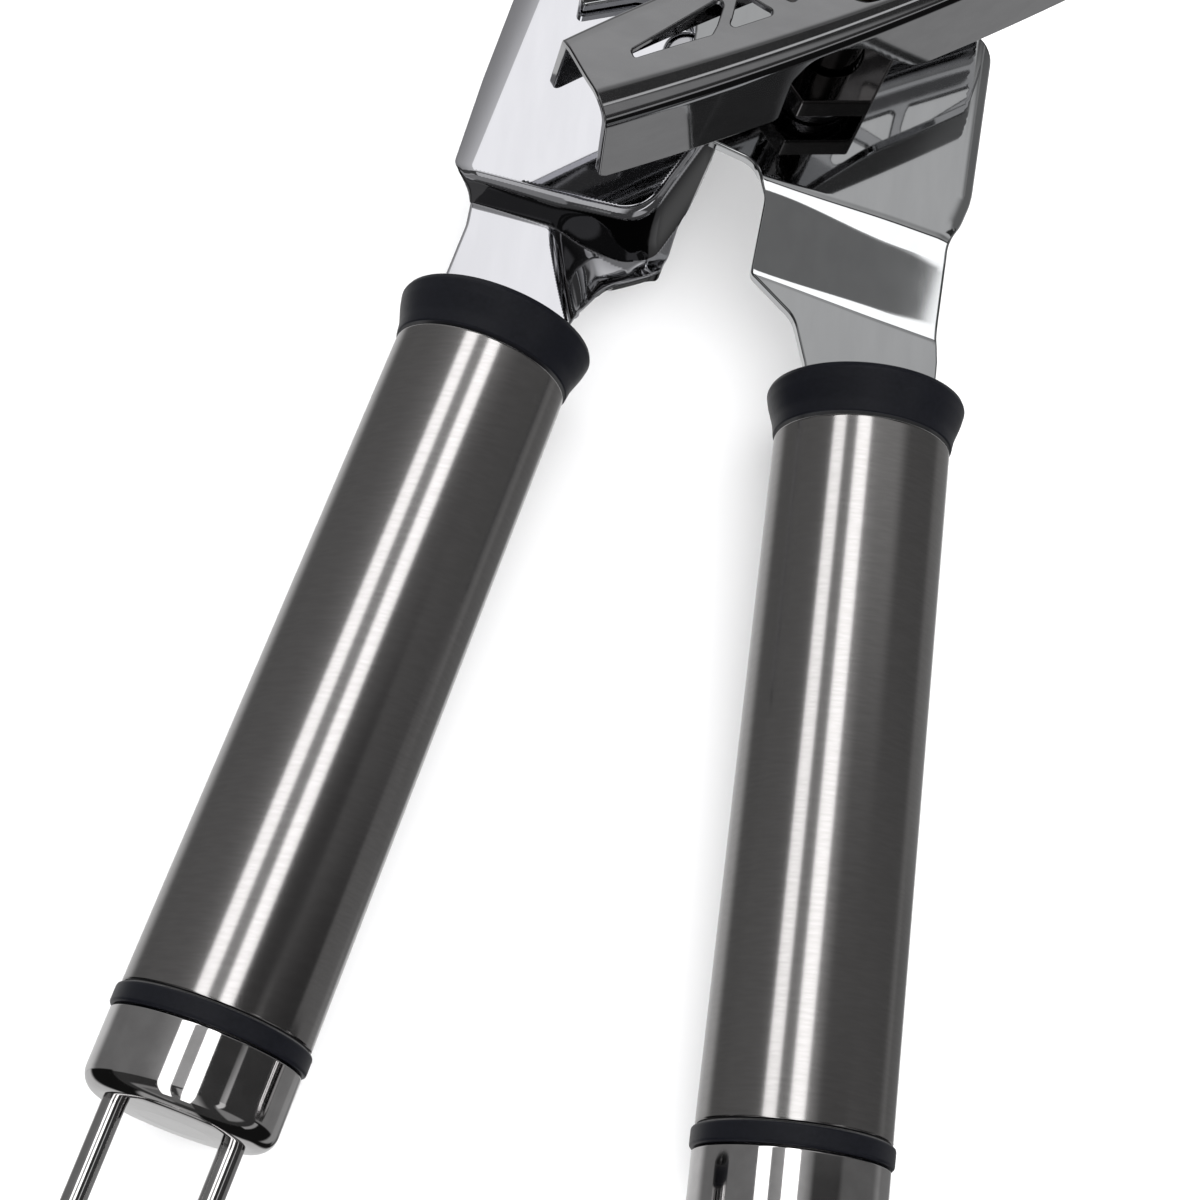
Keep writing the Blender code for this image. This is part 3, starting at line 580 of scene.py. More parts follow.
# ---- plate arm ------------------------------------------------------------
PLATE_OUTLINE = [
    (-TANG_HALF, -TANG_IN, 1.0), (TANG_HALF, -TANG_IN, 1.0), (TANG_HALF, 11.0, 2.0),
    (6.2, 22.5, 3.0), (8.0, 28.5, 8.0), (8.9, 47.5, 3.2), (4.0, 51.2, 6.0),
    (-12.0, 58.5, 10.0), (-26.0, 63.5, 9.0), (-36.8, 58.0, 8.0), (-37.4, 43.2, 0.6),
    (-31.0, 45.8, 2.0), (-24.2, 45.4, 2.5), (-24.6, 38.0, 8.0), (-28.2, 33.0, 3.5),
    (-21.3, 29.8, 3.0), (-16.2, 28.3, 3.0), (-14.35, 25.0, 2.0), (-14.3, 17.8, 1.0),
    (-9.0, 13.4, 4.0), (-7.2, 8.0, 4.0),
]
FOLD_LOW_Y = 15.4
FOLD_RUN = 8.2
FOLD_SLOPE = -0.19
FOLD_TIGHT = 0.4             # half length of the sharp part of a fold, in plan
FOLD_LEFT = 0.5              # half length of its slow part at the left end
FOLD_RIGHT_LOW = 0.9         # and at the right end, lower and upper fold
FOLD_RIGHT_TOP = 1.35
ROLL_R = 2.6
ROLL_REACH = 1.8


def fold(d, wide):
    """max(d, 0) with its corner rounded, sharply below and slowly above."""
    return 0.55 * soft_ramp(d - 0.45 * wide, wide) + 0.45 * soft_ramp(d + 0.55 * wide, FOLD_TIGHT)


def plate_surface(x, y):
    d = y - FOLD_LOW_Y - FOLD_SLOPE * x
    part = soft_step((x + 13.0) / 14.0)
    low = fold(d, FOLD_LEFT + (FOLD_RIGHT_LOW - FOLD_LEFT) * part)
    top = fold(FOLD_RUN - d, FOLD_LEFT + (FOLD_RIGHT_TOP - FOLD_LEFT) * part)
    rise = PLATE_MID * (low - top + FOLD_RUN - d) / FOLD_RUN
    edge = 6.3 + (y - 22.5) * 0.3 if y < 28.5 else 8.1 + (y - 28.5) * 0.042
    reach = ROLL_REACH - (edge - x)
    drop = 0.0
    if reach > 0.0:
        reach = min(reach, ROLL_REACH + 0.15)
        drop = ROLL_R - math.sqrt(ROLL_R ** 2 - reach ** 2)
    return np.array((x, y, rise - drop * soft_step((y - 22.6) / 3.0)))


def lobe_lean(x, y):
    """Turned-down corner beside the pivot, in shading only."""
    part = soft_step((-29.5 - x) / 3.0) * soft_step((48.5 - y) / 3.0)
    return part * np.array((-0.36, -0.34, 0.0))


def fold_rows():
    """Points in lines along both folds of the plate arm."""
    low, high = -3.0, FOLD_RUN + 4.0
    points = [(x, FOLD_LOW_Y + FOLD_SLOPE * x + d) for d in np.arange(low, high, 0.2)
              for x in np.arange(-15.0, 9.0, 0.5)]

    def filled(p):
        return low - 0.2 < p[1] - FOLD_LOW_Y - FOLD_SLOPE * p[0] < high
    return points, filled


def build_plate_arm():
    outer = resample(rounded(PLATE_OUTLINE), 0.6)
    holes = [circle(*AXLE, 5.0), circle(*PIVOT, 3.3), circle(0.0, -14.0, 1.8)]
    pressed("plate_arm", outer, holes, plate_surface, SHEET, 0.6, 0.3, PLATE_STEEL,
            PLATE, ["right_arm_plate"], fold_rows(), lobe_lean)


# ---- shell arm ------------------------------------------------------------
LEFT_UP = np.array((math.sin(OPENING), math.cos(OPENING)))
LEFT_SIDE = np.array((math.cos(OPENING), -math.sin(OPENING)))


def left_xy(side, up):
    p = np.array(LEFT_ROOT) + side * LEFT_SIDE + up * LEFT_UP
    return float(p[0]), float(p[1])


SHELL_OUTLINE = [
    (*left_xy(-7.1, -TANG_IN), 1.0), (*left_xy(7.1, -TANG_IN), 1.0), (*left_xy(7.1, 9.6), 5.0),
    (*left_xy(9.0, 15.2), 6.0), (*left_xy(14.4, 20.0), 1.2), (-22.6, 24.5, 8.0),
    (-20.4, 32.0, 10.0), (-17.9, 42.0, 10.0), (-17.3, 56.0, 8.0), (-24.0, 64.4, 8.0),
    (-39.0, 62.0, 10.0), (-43.6, 47.0, 12.0), (-46.2, 34.0, 20.0), (-48.1, 22.9, 1.2),
    (-45.8, 21.2, 1.5), (*left_xy(-7.3, 15.0), 6.0),
]
RIM_A, RIM_B = np.array((-45.4, 21.9)), np.array((-27.8, 20.4))
WALL_A, WALL_B = np.array((-26.8, 21.2)), np.array((-23.1, 28.6))
ROLL_A, ROLL_B = np.array((-44.6, 27.0)), np.array((-40.3, 46.0))
WALL_RUN = 1.6
RIM_CORNER = 3.0             # roundness of the raised face's lower right corner
RIM_FOLD = 0.55
WEB_DROP = 4.3
FLANGE_SLOPE = 0.65
WEB_BORDER = [left_xy(7.1, 9.6), left_xy(9.0, 15.2), left_xy(14.4, 20.0), (-22.6, 24.5),
              (-20.4, 32.0)]
SHELL_ROLL_R = 4.7


def left_of(point, a, b):
    d = unit(b - a)
    q = point - a
    return float(d[0] * q[1] - d[1] * q[0])


def shell_inner(p):
    """How far p lies inside the raised face, past its rounded lower right corner."""
    return soft_min(left_of(p, RIM_A, RIM_B), left_of(p, WALL_A, WALL_B), RIM_CORNER)


def rim_point(inner, place):
    """The point of that distance, at a place counted along the rim from its corner."""
    a = inner + soft_ramp(place, RIM_CORNER)
    rim, wall = unit(RIM_B - RIM_A), unit(WALL_B - WALL_A)
    rows = np.array(((-rim[1], rim[0]), (-wall[1], wall[0])))
    ends = np.array((a + rows[0] @ RIM_A, a - place + rows[1] @ WALL_A))
    return tuple(np.linalg.solve(rows, ends))


def shell_level(p):
    """0 on the web, 1 on the raised face."""
    inner = shell_inner(p)
    run = WALL_RUN * (0.5 + 0.5 * soft_step((p[0] + 46.0) / 12.0))
    wall = (soft_ramp(inner + run, RIM_FOLD) - soft_ramp(inner, RIM_FOLD)) / run
    joined = soft_step((p[1] - 30.5) / 4.0)
    return 1.0 - (1.0 - wall) * (1.0 - joined)


def border_distance(p):
    best = 1e9
    for a, b in zip(WEB_BORDER, WEB_BORDER[1:]):
        a, b = np.array(a), np.array(b)
        d = b - a
        t = min(1.0, max(0.0, float((p - a) @ d) / float(d @ d)))
        best = min(best, float(np.linalg.norm(p - (a + t * d))))
    return best


def tang_bound(up):
    """Where the flat tang gives way to the web, measured across the handle."""
    short = max(0.0, 18.6 - up)
    return 1.5 + 0.50 * short + 0.008 * short ** 2


def shell_dip(p):
    """Web pressed down between the tang and the outer border, level at both."""
    q = p - np.array(LEFT_ROOT)
    side, up = float(q @ LEFT_SIDE), float(q @ LEFT_UP)
    reach = soft_ramp(side - tang_bound(up), 0.8)
    width = reach + border_distance(p)
    part = min(1.0, reach / max(width, 1e-6))
    depth = WEB_DROP * (1.0 - math.exp(-width / 4.5)) * (1.0 - (1.0 - part) ** 1.6)
    flange = soft_ramp(-left_of(p, WALL_A, WALL_B) - 0.9, 0.4)
    return depth + FLANGE_SLOPE * flange * soft_step((p[1] - 17.0) / 4.0)


def shell_surface(x, y):
    p = np.array((x, y))
    out = left_of(p, ROLL_A, ROLL_B)
    reach = min(max(0.0, out), 4.15)
    drop = SHELL_ROLL_R - math.sqrt(SHELL_ROLL_R ** 2 - reach ** 2)
    level = shell_level(p)
    z = (SHELL_MID - drop) * level
    if y < 35.0:
        z -= shell_dip(p) * (1.0 - level)
    return np.array((x, y, z))


def shell_rows():
    """Points in lines along the rim of the raised face and along the tang's border."""
    low, high = -3.2, 1.6

    def by_rim(p):
        return p[1] < 33.5 and low - 0.2 < shell_inner(p) < high

    def by_tang(p):
        q = p - np.array(LEFT_ROOT)
        up = float(q @ LEFT_UP)
        return 6.0 < up < 22.0 and -1.2 < float(q @ LEFT_SIDE) - tang_bound(up) < 2.4

    rim = [rim_point(inner, place) for inner in np.arange(low, high, 0.16)
           for place in np.arange(-22.0, 12.0, 0.4)]
    tang = [left_xy(tang_bound(up) + k, up) for k in np.arange(-1.1, 2.4, 0.16)
            for up in np.arange(6.2, 22.0, 0.3)]
    points = [p for p in rim if p[1] < 33.5]
    points += [p for p in tang if not by_rim(np.array(p))]
    return points, lambda p: by_rim(p) or by_tang(p)


def tang_lean(x, y):
    """Slight crown of the tang, towards its left."""
    q = np.array((x, y)) - np.array(LEFT_ROOT)
    side, up = float(q @ LEFT_SIDE), float(q @ LEFT_UP)
    part = soft_step((tang_bound(up) - side + 0.9) / 0.6) * soft_step(20.0 - up)
    return -0.16 * part * np.array((*LEFT_SIDE, 0.0))


def build_shell_arm():
    outer = resample(rounded(SHELL_OUTLINE), 0.6)
    holes = [circle(*CUTTER, 2.8), circle(*PIVOT, 3.05), circle(*left_xy(0.0, -14.0), 1.8)]
    pressed("shell_arm", outer, holes, shell_surface, SHEET, 0.5, 0.3, SHELL_STEEL,
            SHELL, ["left_arm_shell"], shell_rows(), tang_lean)


# ---- turning key ----------------------------------------------------------
BEND_LEN = KEY_BEND_R * KEY_BEND
BEND_END = KEY_FLAT + BEND_LEN
FOOT = BEND_END + KEY_WALL


def key_surface(s, w):
    """Point of the folded key for a place (s, w) on its flat blank."""
    side = 1.0 if w >= 0.0 else -1.0
    across = abs(w)
    waist = KEY_WAIST - (KEY_WAIST - KEY_WAIST_END) * (abs(s) / KEY_HALF) ** 2
    bend = KEY_BEND_R - KEY_BEND_SLOPE * s * side
    flat_half = waist - bend * math.sin(KEY_BEND)
    mid_z = KEY_TOP - KEY_SHEET / 2.0
    if across <= KEY_FLAT:
        d, z = flat_half * across / KEY_FLAT, mid_z
    elif across <= BEND_END:
        ang = (across - KEY_FLAT) / KEY_BEND_R
        d = flat_half + bend * math.sin(ang)
        z = mid_z - bend * (1.0 - math.cos(ang))
    else:
        start_z = mid_z - bend * (1.0 - math.cos(KEY_BEND))
        z = start_z - (start_z - KEY_LOW) * (across - BEND_END) / KEY_WALL
        d = waist + (start_z - z) / math.tan(KEY_BEND)
    along = np.array((math.cos(KEY_TURN), math.sin(KEY_TURN)))
    outward = np.array((math.sin(KEY_TURN), -math.cos(KEY_TURN))) * side
    xy = np.array(AXLE) + along * s + outward * d
    return np.array((xy[0], xy[1], z))


def key_outline():
    near = [(-KEY_HALF, FOOT, 1.2), (-11.3, FOOT, 0.8), (-10.9, BEND_END + 3.0, 2.0),
            (-9.2, BEND_END + 0.3, 2.0), (-5.4, BEND_END + 0.4, 3.0),
            (-2.0, BEND_END + 2.4, 5.0), (1.0, BEND_END + 6.0, 5.0), (5.6, FOOT, 4.0),
            (KEY_HALF, FOOT, 1.2), (KEY_HALF + 0.8, BEND_END - 2.0, 6.0)]
    far = [(-s, -w, r) for s, w, r in near]
    return rounded(near + far, 8)


def key_windows():
    left = [
        [(-27.2, 0.2, 0.3), (-27.2, -0.8, 0.3), (-15.1, -2.6, 0.5), (-18.7, 1.0, 0.5)],
        [(-16.9, 1.1, 0.5), (-13.7, -2.5, 0.5), (-11.2, 1.3, 0.5)],
        [(-11.8, -2.6, 0.5), (-5.6, -2.6, 0.5), (-9.0, 0.9, 0.5)],
    ]
    loops = []
    for window in left:
        loop = resample(rounded(window, 5), 0.6)
        loops.append(loop)
        loops.append([(-s, -w) for s, w in loop])
    return loops


def build_key():
    outer = resample(key_outline(), 0.6)
    holes = key_windows() + [circle(0.0, 0.0, 2.5)]
    pressed("key", outer, holes, key_surface, KEY_SHEET, 0.5, 0.22, KEY_STEEL,
            KEY, ["turning_key"])


# ---- axle, rivet, wheels --------------------------------------------------
def prism(name, outer, bore, low, high, edge, mat, body, nodes):
    middle = 0.5 * (low + high)

    def flat(x, y):
        return np.array((x, y, middle))

    pressed(name, resample(outer, 0.8), [bore], flat, high - low, 1.2, edge, mat, body,
            nodes)


def polygon(center, radius, sides, turn, round_r):
    corners = [(center[0] + radius * math.cos(turn + 2 * math.pi * i / sides),
                center[1] + radius * math.sin(turn + 2 * math.pi * i / sides), round_r)
               for i in range(sides)]
    return rounded(corners)


def feed_outline():
    """Tapered teeth round the feed wheel."""
    teeth = []
    for i in range(FEED_TEETH):
        for part, radius in ((0.0, FEED_R), (0.18, FEED_R), (0.36, FEED_ROOT_R),
                             (0.82, FEED_ROOT_R)):
            ang = 2.0 * math.pi * (i + part) / FEED_TEETH
            teeth.append((AXLE[0] + radius * math.cos(ang), AXLE[1] + radius * math.sin(ang), 0.1))
    return rounded(teeth, 2)


def build_axle_group():
    place = vertical(AXLE)
    lathe("axle", [(0.0, -4.0, 0.0), (2.4, -4.0, 0.4), (2.4, -0.9, 0.1), (AXLE_R, -0.9, 0.2),
                   (AXLE_R, 28.7, 0.3), (2.2, 28.7, 0.1), (2.2, 30.3, 0.1), (3.7, 30.3, 0.3),
                   (3.7, 31.0, 0.5), (2.4, 31.6, 0.8), (0.0, 31.6, 0.0)],
          place, HUB_SHADED_STEEL, KEY, ["key_axle"], SMALL)
    prism("hex_collar", polygon(AXLE, HEX_R, 6, COLLAR_TURN, 0.35),
          circle(*AXLE, AXLE_R + 0.3), HEX_LOW, HEX_HIGH, 0.3, HUB_SHADED_STEEL,
          KEY, ["axle_hex_collar"])
    prism("feed", feed_outline(), circle(*AXLE, AXLE_R + 0.3), -0.6, 2.6, 0.15, HARD_STEEL,
          KEY, ["feed_wheel"])
    prism("feed_nut", polygon(AXLE, NUT_R, 6, 0.0, 0.3), circle(*AXLE, 2.7), -3.5, -0.95,
          0.25, HARD_STEEL, KEY, ["feed_wheel_nut"])
    bore = AXLE_R + 0.05
    lathe("bush", [(bore, 3.9, 0.1), (6.0, 3.9, 0.2), (6.0, 4.7, 0.15), (BUSH_R, 4.7, 0.1),
                   (BUSH_R, BUSH_TOP, 0.15), (bore, BUSH_TOP, 0.15)],
          place, HARD_STEEL, PLATE, ["axle_bush"], SMALL)
    lathe("washer_axle", washer(bore, 5.4, 2.9, 3.6), place, HARD_STEEL, PLATE,
          ["thrust_washer"], SMALL)


def washer(inner, outer, low, high, edge=0.12):
    return [(inner, low, edge), (outer, low, edge), (outer, high, edge), (inner, high, edge)]


def build_pivot():
    place = vertical(PIVOT)
    lathe("rivet", [(0.0, 0.9, 0.0), (4.4, 0.9, 0.3), (4.4, 1.7, 0.2), (3.0, 1.7, 0.1),
                    (3.0, 6.9, 0.1), (5.0, 6.9, 0.15), (5.0, 7.35, 0.5), (3.0, 8.4, 3.0),
                    (0.0, 8.5, 0.0)],
          place, BRIGHT_STEEL, PLATE, ["pivot_rivet"], SMALL, 8)
    lathe("washer_pivot", washer(3.3, 5.6, 2.0, 2.7), place, HARD_STEEL, PLATE,
          ["pivot_washer"], SMALL)


def build_cutter():
    place = vertical(CUTTER)
    lathe("stud", [(1.5, -2.75, 0.1), (2.5, -2.75, 0.15), (2.5, -0.2, 0.1), (4.0, -0.2, 0.15),
                   (4.0, 2.7, 0.15), (2.5, 2.7, 0.1), (2.5, 4.6, 0.2), (1.5, 4.6, 0.15)],
          place, SHELL_STEEL, SHELL, ["cutter_stud"], SMALL)
    lathe("screw", [(0.0, -4.1, 0.0), (4.4, -4.1, 0.4), (4.4, -3.05, 0.2), (1.2, -3.05, 0.1),
                    (1.2, 3.0, 0.3), (0.0, 3.0, 0.0)],
          place, BRIGHT_STEEL, SHELL, ["cutter_screw"], SMALL)
    lathe("washer_cutter", washer(2.8, 4.6, -0.8, -0.5, 0.1), place, HARD_STEEL,
          SHELL, ["cutter_washer"], SMALL)
    bore = 2.55
    lathe("cutter_disc", [(bore, -2.5, 0.1), (5.4, -2.5, 0.5), (6.4, -2.3, 0.5),
                          (CUT_R, -1.4, 0.05), (CUT_R, -1.3, 0.05), (6.4, -1.1, 0.5),
                          (bore, -1.1, 0.1)],
          place, HARD_STEEL, CUT, ["cutting_wheel"], SMALL)


# ---- handles --------------------------------------------------------------
def handle_place(root, angle):
    """Local Z runs up the handle to the head, local Y is world down."""
    place = Matrix.Identity(4)
    place.col[0][:3] = (math.cos(angle), -math.sin(angle), 0.0)
    place.col[1][:3] = (0.0, 0.0, -1.0)
    place.col[2][:3] = (math.sin(angle), math.cos(angle), 0.0)
    place.translation = (root[0], root[1], 0.0)
    return place


def build_handle(side, root, angle, tube_mat, body, loop):
    place = handle_place(root, angle)
    end = -TUBE_LEN
    wall = TUBE_WALL
    tube = [(TUBE_R_TOP - wall, -0.15, 0.15), (TUBE_R_TOP, -0.15, 0.3),
            (TUBE_R_END, end, 0.3), (TUBE_R_END - wall, end, 0.15)]
    tube = lathe(side + "_tube", tube, place, tube_mat, body,
                 [side + "_handle_tube"])
    tube.visible_glossy = False
    collar = [(0.0, -5.0, 0.0), (SLEEVE_IN, -5.0, 0.3), (SLEEVE_IN, 0.15, 0.05),
              (9.7, 0.15, 0.2), (9.9, 1.6, 4.0), (10.55, 3.6, 4.0), (COLLAR_R, 4.75, 0.6),
              (COLLAR_R - 0.25, 5.35, 0.5), (COLLAR_R - 0.9, COLLAR_H, 0.4),
              (0.0, COLLAR_H, 0.0)]
    ferrule = lathe(side + "_ferrule", collar, place, BLACK_PLASTIC, body,
                    [side + "_collar"], FINE, 6)
    ferrule.visible_glossy = False
    band_top = end - 0.15
    band_low = band_top - BAND_LEN
    lathe(side + "_ring", [(SLEEVE_IN, band_low, 0.1), (BAND_R, band_low, 0.4),
                           (BAND_R, band_top, 0.4), (SLEEVE_IN, band_top, 0.1)],
          place, BLACK_PLASTIC, body, [side + "_band"])
    top = band_low - 0.15
    low = top - CAP_LEN
    radius = TUBE_R_END + 0.05
    inner = radius - wall
    cap = [(0.0, low - 0.3, 0.0), (4.0, low - 0.3, 4.0), (radius, low, CAP_ROUND),
           (radius, top, 0.25), (inner, top, 0.15), (inner, low + 0.85, 1.5),
           (0.0, low + 0.55, 0.0)]
    lathe(side + "_cap", cap, place, BRIGHT_STEEL, body,
          [side + "_end_cap"], FINE, 10)
    if loop:
        build_loop(place, low, body)


def loop_path(cap_low):
    """Middle line of the wire: down one leg, round the end and up the other."""
    path = [(-WIRE_HALF_SPAN, cap_low + WIRE_IN - (WIRE_IN + WIRE_OUT) * k / 8.0)
            for k in range(9)]
    bottom = cap_low - WIRE_OUT
    for k in range(1, 48):
        ang = math.pi * k / 48.0
        path.append((-WIRE_HALF_SPAN * math.cos(ang), bottom - WIRE_HALF_SPAN * math.sin(ang)))
    return path + [(WIRE_HALF_SPAN, z) for _, z in reversed(path[:9])]


def build_loop(place, cap_low, body):
    sides = 40
    verts, normals, faces = [], [], []
    pts = [np.array(p) for p in loop_path(cap_low)]
    base = place.to_3x3()
    for i, p in enumerate(pts):
        ahead = unit(pts[min(i + 1, len(pts) - 1)] - pts[max(i - 1, 0)])
        across = np.array((ahead[1], -ahead[0]))
        for j in range(sides):
            ang = 2.0 * math.pi * j / sides
            flat = across * math.cos(ang)
            normal = Vector((flat[0], math.sin(ang), flat[1]))
            verts.append(place @ (Vector((p[0], 0.0, p[1])) + normal * WIRE_R))
            normals.append(base @ normal)
    for i in range(len(pts) - 1):
        for j in range(sides):
            k = (j + 1) % sides
            faces.append((i * sides + j, i * sides + k, (i + 1) * sides + k, (i + 1) * sides + j))
    faces.append(tuple(reversed(range(sides))))
    faces.append(tuple((len(pts) - 1) * sides + j for j in range(sides)))
    add_mesh("loop_wire", verts, normals, faces, BRIGHT_STEEL, body,
             ["hanging_loop"])


def dress_inner_nodes():
    """Nodes that stay as packed get their finish."""
    for side in ("left", "right"):
        for part, mat in (("core", BLACK_PLASTIC), ("end_plug", BLACK_PLASTIC),
                          ("tang_pin", HARD_STEEL)):
            node = frame["nodes"][f"{side}_{part}"]
            node.visible_glossy = False
            node.data.materials.clear()
            node.data.materials.append(mat)


# ---- studio ---------------------------------------------------------------
CAMERA_PLACE = (-57.24, -119.32, 287.59)
CAMERA_RIGHT = (0.9820, 0.1194, 0.1463)
CAMERA_UP = (-0.1591, 0.9404, 0.3005)
LENS = 87.0
SENSOR = 36.0
WHITE_LEVEL = 2.3            # of the studio, for everything but mirror rays
STRIP_AWAY = 500.0           # millimetres from handle to strip light
STRIP_LEN = 1600.0
PANEL_AWAY = 3.0             # metres from plate arm to white panel


def build_camera():
    data = bpy.data.cameras.new("camera")
    data.lens = LENS
    data.sensor_width = SENSOR
    data.clip_start = 0.01
    data.clip_end = 20.0
    cam = bpy.data.objects.new("camera", data)
    right = Vector(CAMERA_RIGHT).normalized()
    up = Vector(CAMERA_UP)
    up = (up - right * right.dot(up)).normalized()
    back = right.cross(up)
    spin = Matrix((right, up, back)).transposed()
    cam.matrix_world = Matrix.Translation(
        (Vector(CAMERA_PLACE) + Vector(OFFSET)) * MM) @ spin.to_4x4()
    bpy.context.scene.collection.objects.link(cam)
    bpy.context.scene.camera = cam


def build_floor():
    mesh = bpy.data.meshes.new("floor")
    half = 3.0
    mesh.from_pydata([(-half, -half, 0.0), (half, -half, 0.0), (half, half, 0.0),
                      (-half, half, 0.0)], [], [(0, 1, 2, 3)])
    mat, tree, shader = new_material("floor")
    noise = stretched_noise(tree, 8.0, (1.0, 1.0, 1.0), 2.0)
    tint = ramp(tree, 0.3, 0.7, (0.84, 0.84, 0.845), (0.86, 0.86, 0.865))
    tree.links.new(noise.outputs["Fac"], tint.inputs["Fac"])
    tree.links.new(tint.outputs["Color"], shader.inputs["Base Color"])
    shader.inputs["Roughness"].default_value = 0.7
    mesh.materials.append(mat)
    obj = bpy.data.objects.new("floor", mesh)
    obj.location.z = -0.0003
    obj.visible_glossy = False
    bpy.context.scene.collection.objects.link(obj)


class Sky:
    """Brightness of the studio by direction, written as shader nodes."""

    def __init__(self, tree):
        self.tree = tree
        coords = tree.nodes.new("ShaderNodeTexCoord")
        split = tree.nodes.new("ShaderNodeSeparateXYZ")
        tree.links.new(coords.outputs["Generated"], split.inputs["Vector"])
        self.x, self.y, self.z = split.outputs

    def put(self, socket, value):
        if isinstance(value, (int, float)):
            socket.default_value = value
        else:
            self.tree.links.new(value, socket)

    def step(self, value, low, high, start=0.0, end=1.0):
        return smooth_range(self.tree, value, low, high, start, end)

    def both(self, first, *rest):
        """Product of masks."""
        for mask in rest:
            node = add_node(self.tree, "ShaderNodeMath", operation="MULTIPLY")
            self.put(node.inputs[0], first)
            self.put(node.inputs[1], mask)
            first = node.outputs["Value"]
        return first

    def blend(self, a, b, part):
        """a where part is 0, b where it is 1."""
        node = add_node(self.tree, "ShaderNodeMix", data_type="FLOAT")
        self.put(node.inputs["Factor"], part)
        self.put(node.inputs["A"], a)
        self.put(node.inputs["B"], b)
        return node.outputs["Result"]


def head_glow(sky):
    """Fields towards the head, and a dark half towards the handles."""
    x, y, z = sky.x, sky.y, sky.z
    glow = sky.step(x, -0.85, -0.10, 0.21, 0.50)
    glow = sky.blend(glow, 0.15, sky.step(x, 0.0, 0.3))
    pale = sky.both(sky.step(y, 0.25, 0.42), sky.step(z, 0.55, 0.75), sky.step(x, -0.30, -0.12))
    glow = sky.blend(glow, 0.52, pale)
    glow = sky.blend(glow, 0.045, sky.step(y, 0.05, -0.02))
    glow = sky.blend(glow, 0.045, sky.both(sky.step(x, 0.2, 0.3), sky.step(y, 0.17, 0.13),
                                           sky.step(z, 0.6, 0.7)))
    glow = sky.blend(glow, 0.03, sky.both(sky.step(x, 0.30, 0.42), sky.step(y, 0.46, 0.50)))
    return sky.blend(glow, 0.24, sky.both(sky.step(x, 0.64, 0.68), sky.step(x, 0.74, 0.70),
                                          sky.step(y, 0.38, 0.44)))


def handle_glow(sky, glow):
    """Lit fields in the half towards the handles, above the horizon."""
    x, y, z = sky.x, sky.y, sky.z
    band = sky.both(sky.step(y, -0.09, -0.13), sky.step(y, -0.80, -0.76),
                    sky.step(z, 0.30, 0.36), sky.step(x, 0.34, 0.10), sky.step(x, -0.22, -0.18))
    glow = sky.blend(glow, 0.42, band)
    behind = sky.both(sky.step(y, -0.45, -0.55), sky.step(z, 0.10, 0.20))
    glow = sky.blend(glow, 0.30, sky.both(behind, sky.step(x, -0.26, -0.34)))
    glow = sky.blend(glow, 0.30, sky.both(behind, sky.step(x, 0.45, 0.53)))
    panel = sky.both(sky.step(y, -0.60, -0.64), sky.step(x, -0.0185, -0.0215),
                     sky.step(z, 0.2, 0.3))
    glow = sky.blend(glow, 0.17, panel)
    return sky.blend(glow, 0.80, sky.both(sky.step(x, 0.50, 0.56), sky.step(y, 0.02, -0.06),
                                          sky.step(z, 0.65, 0.67), sky.step(z, 0.76, 0.74)))


def head_floor(sky):
    """Brightness below the horizon, towards the head."""
    x, y, z = sky.x, sky.y, sky.z
    floor = sky.step(x, -0.3, 0.3, 0.20, 0.30)
    floor = sky.blend(floor, 0.70, sky.both(sky.step(z, -0.55, -0.80), sky.step(x, 0.50, 0.40)))
    return sky.blend(floor, 0.22, sky.both(sky.step(z, -0.35, -0.45), sky.step(x, 0.45, 0.52),
                                           sky.step(y, 0.26, 0.23)))


def handle_floor(sky):
    """Brightness below the horizon, towards the handles."""
    x, y, z = sky.x, sky.y, sky.z
    right = sky.both(sky.step(x, 0.42, 0.50), sky.step(z, -0.66, -0.74))
    left = sky.both(sky.step(x, 0.30, 0.20), sky.step(z, -0.70, -0.80))
    floor = sky.blend(0.01, 0.24, sky.both(sky.step(y, -0.22, -0.14), sky.step(x, 0.30, 0.40)))
    floor = sky.blend(sky.blend(floor, 0.34, right), 0.65, left)
    return sky.blend(floor, 0.45, sky.both(sky.step(y, -0.74, -0.80), sky.step(x, -0.02, -0.10)))


def build_world():
    """Plain white, except that mirror rays see the fields by direction."""
    world = bpy.data.worlds.new("studio")
    bpy.context.scene.world = world
    world.use_nodes = True
    tree = world.node_tree
    back = tree.nodes["Background"]
    sky = Sky(tree)
    x, y, z = sky.x, sky.y, sky.z
    glow = handle_glow(sky, head_glow(sky))
    glow = sky.blend(glow, head_floor(sky), sky.both(sky.step(z, -0.12, -0.35),
                                                     sky.step(y, 0.04, 0.10)))
    glow = sky.blend(glow, handle_floor(sky), sky.both(sky.step(z, -0.02, -0.10),
                                                       sky.step(y, 0.10, 0.04)))
    glow = sky.blend(glow, 0.40, sky.both(sky.step(x, 0.6, 0.65), sky.step(y, -0.25, -0.30),
                                          sky.step(z, -0.20, -0.16), sky.step(z, -0.05, -0.09)))
    path = tree.nodes.new("ShaderNodeLightPath")
    light = sky.blend(WHITE_LEVEL, glow, path.outputs["Is Glossy Ray"])
    tree.links.new(light, back.inputs["Color"])
    back.inputs["Strength"].default_value = 1.0


def only_on(light, names):
    """The light reaches only the named pieces."""
    group = bpy.data.collections.new(light.name + "_pieces")
    for name in names:
        group.objects.link(bpy.data.objects[name])
    light.light_linking.receiver_collection = group


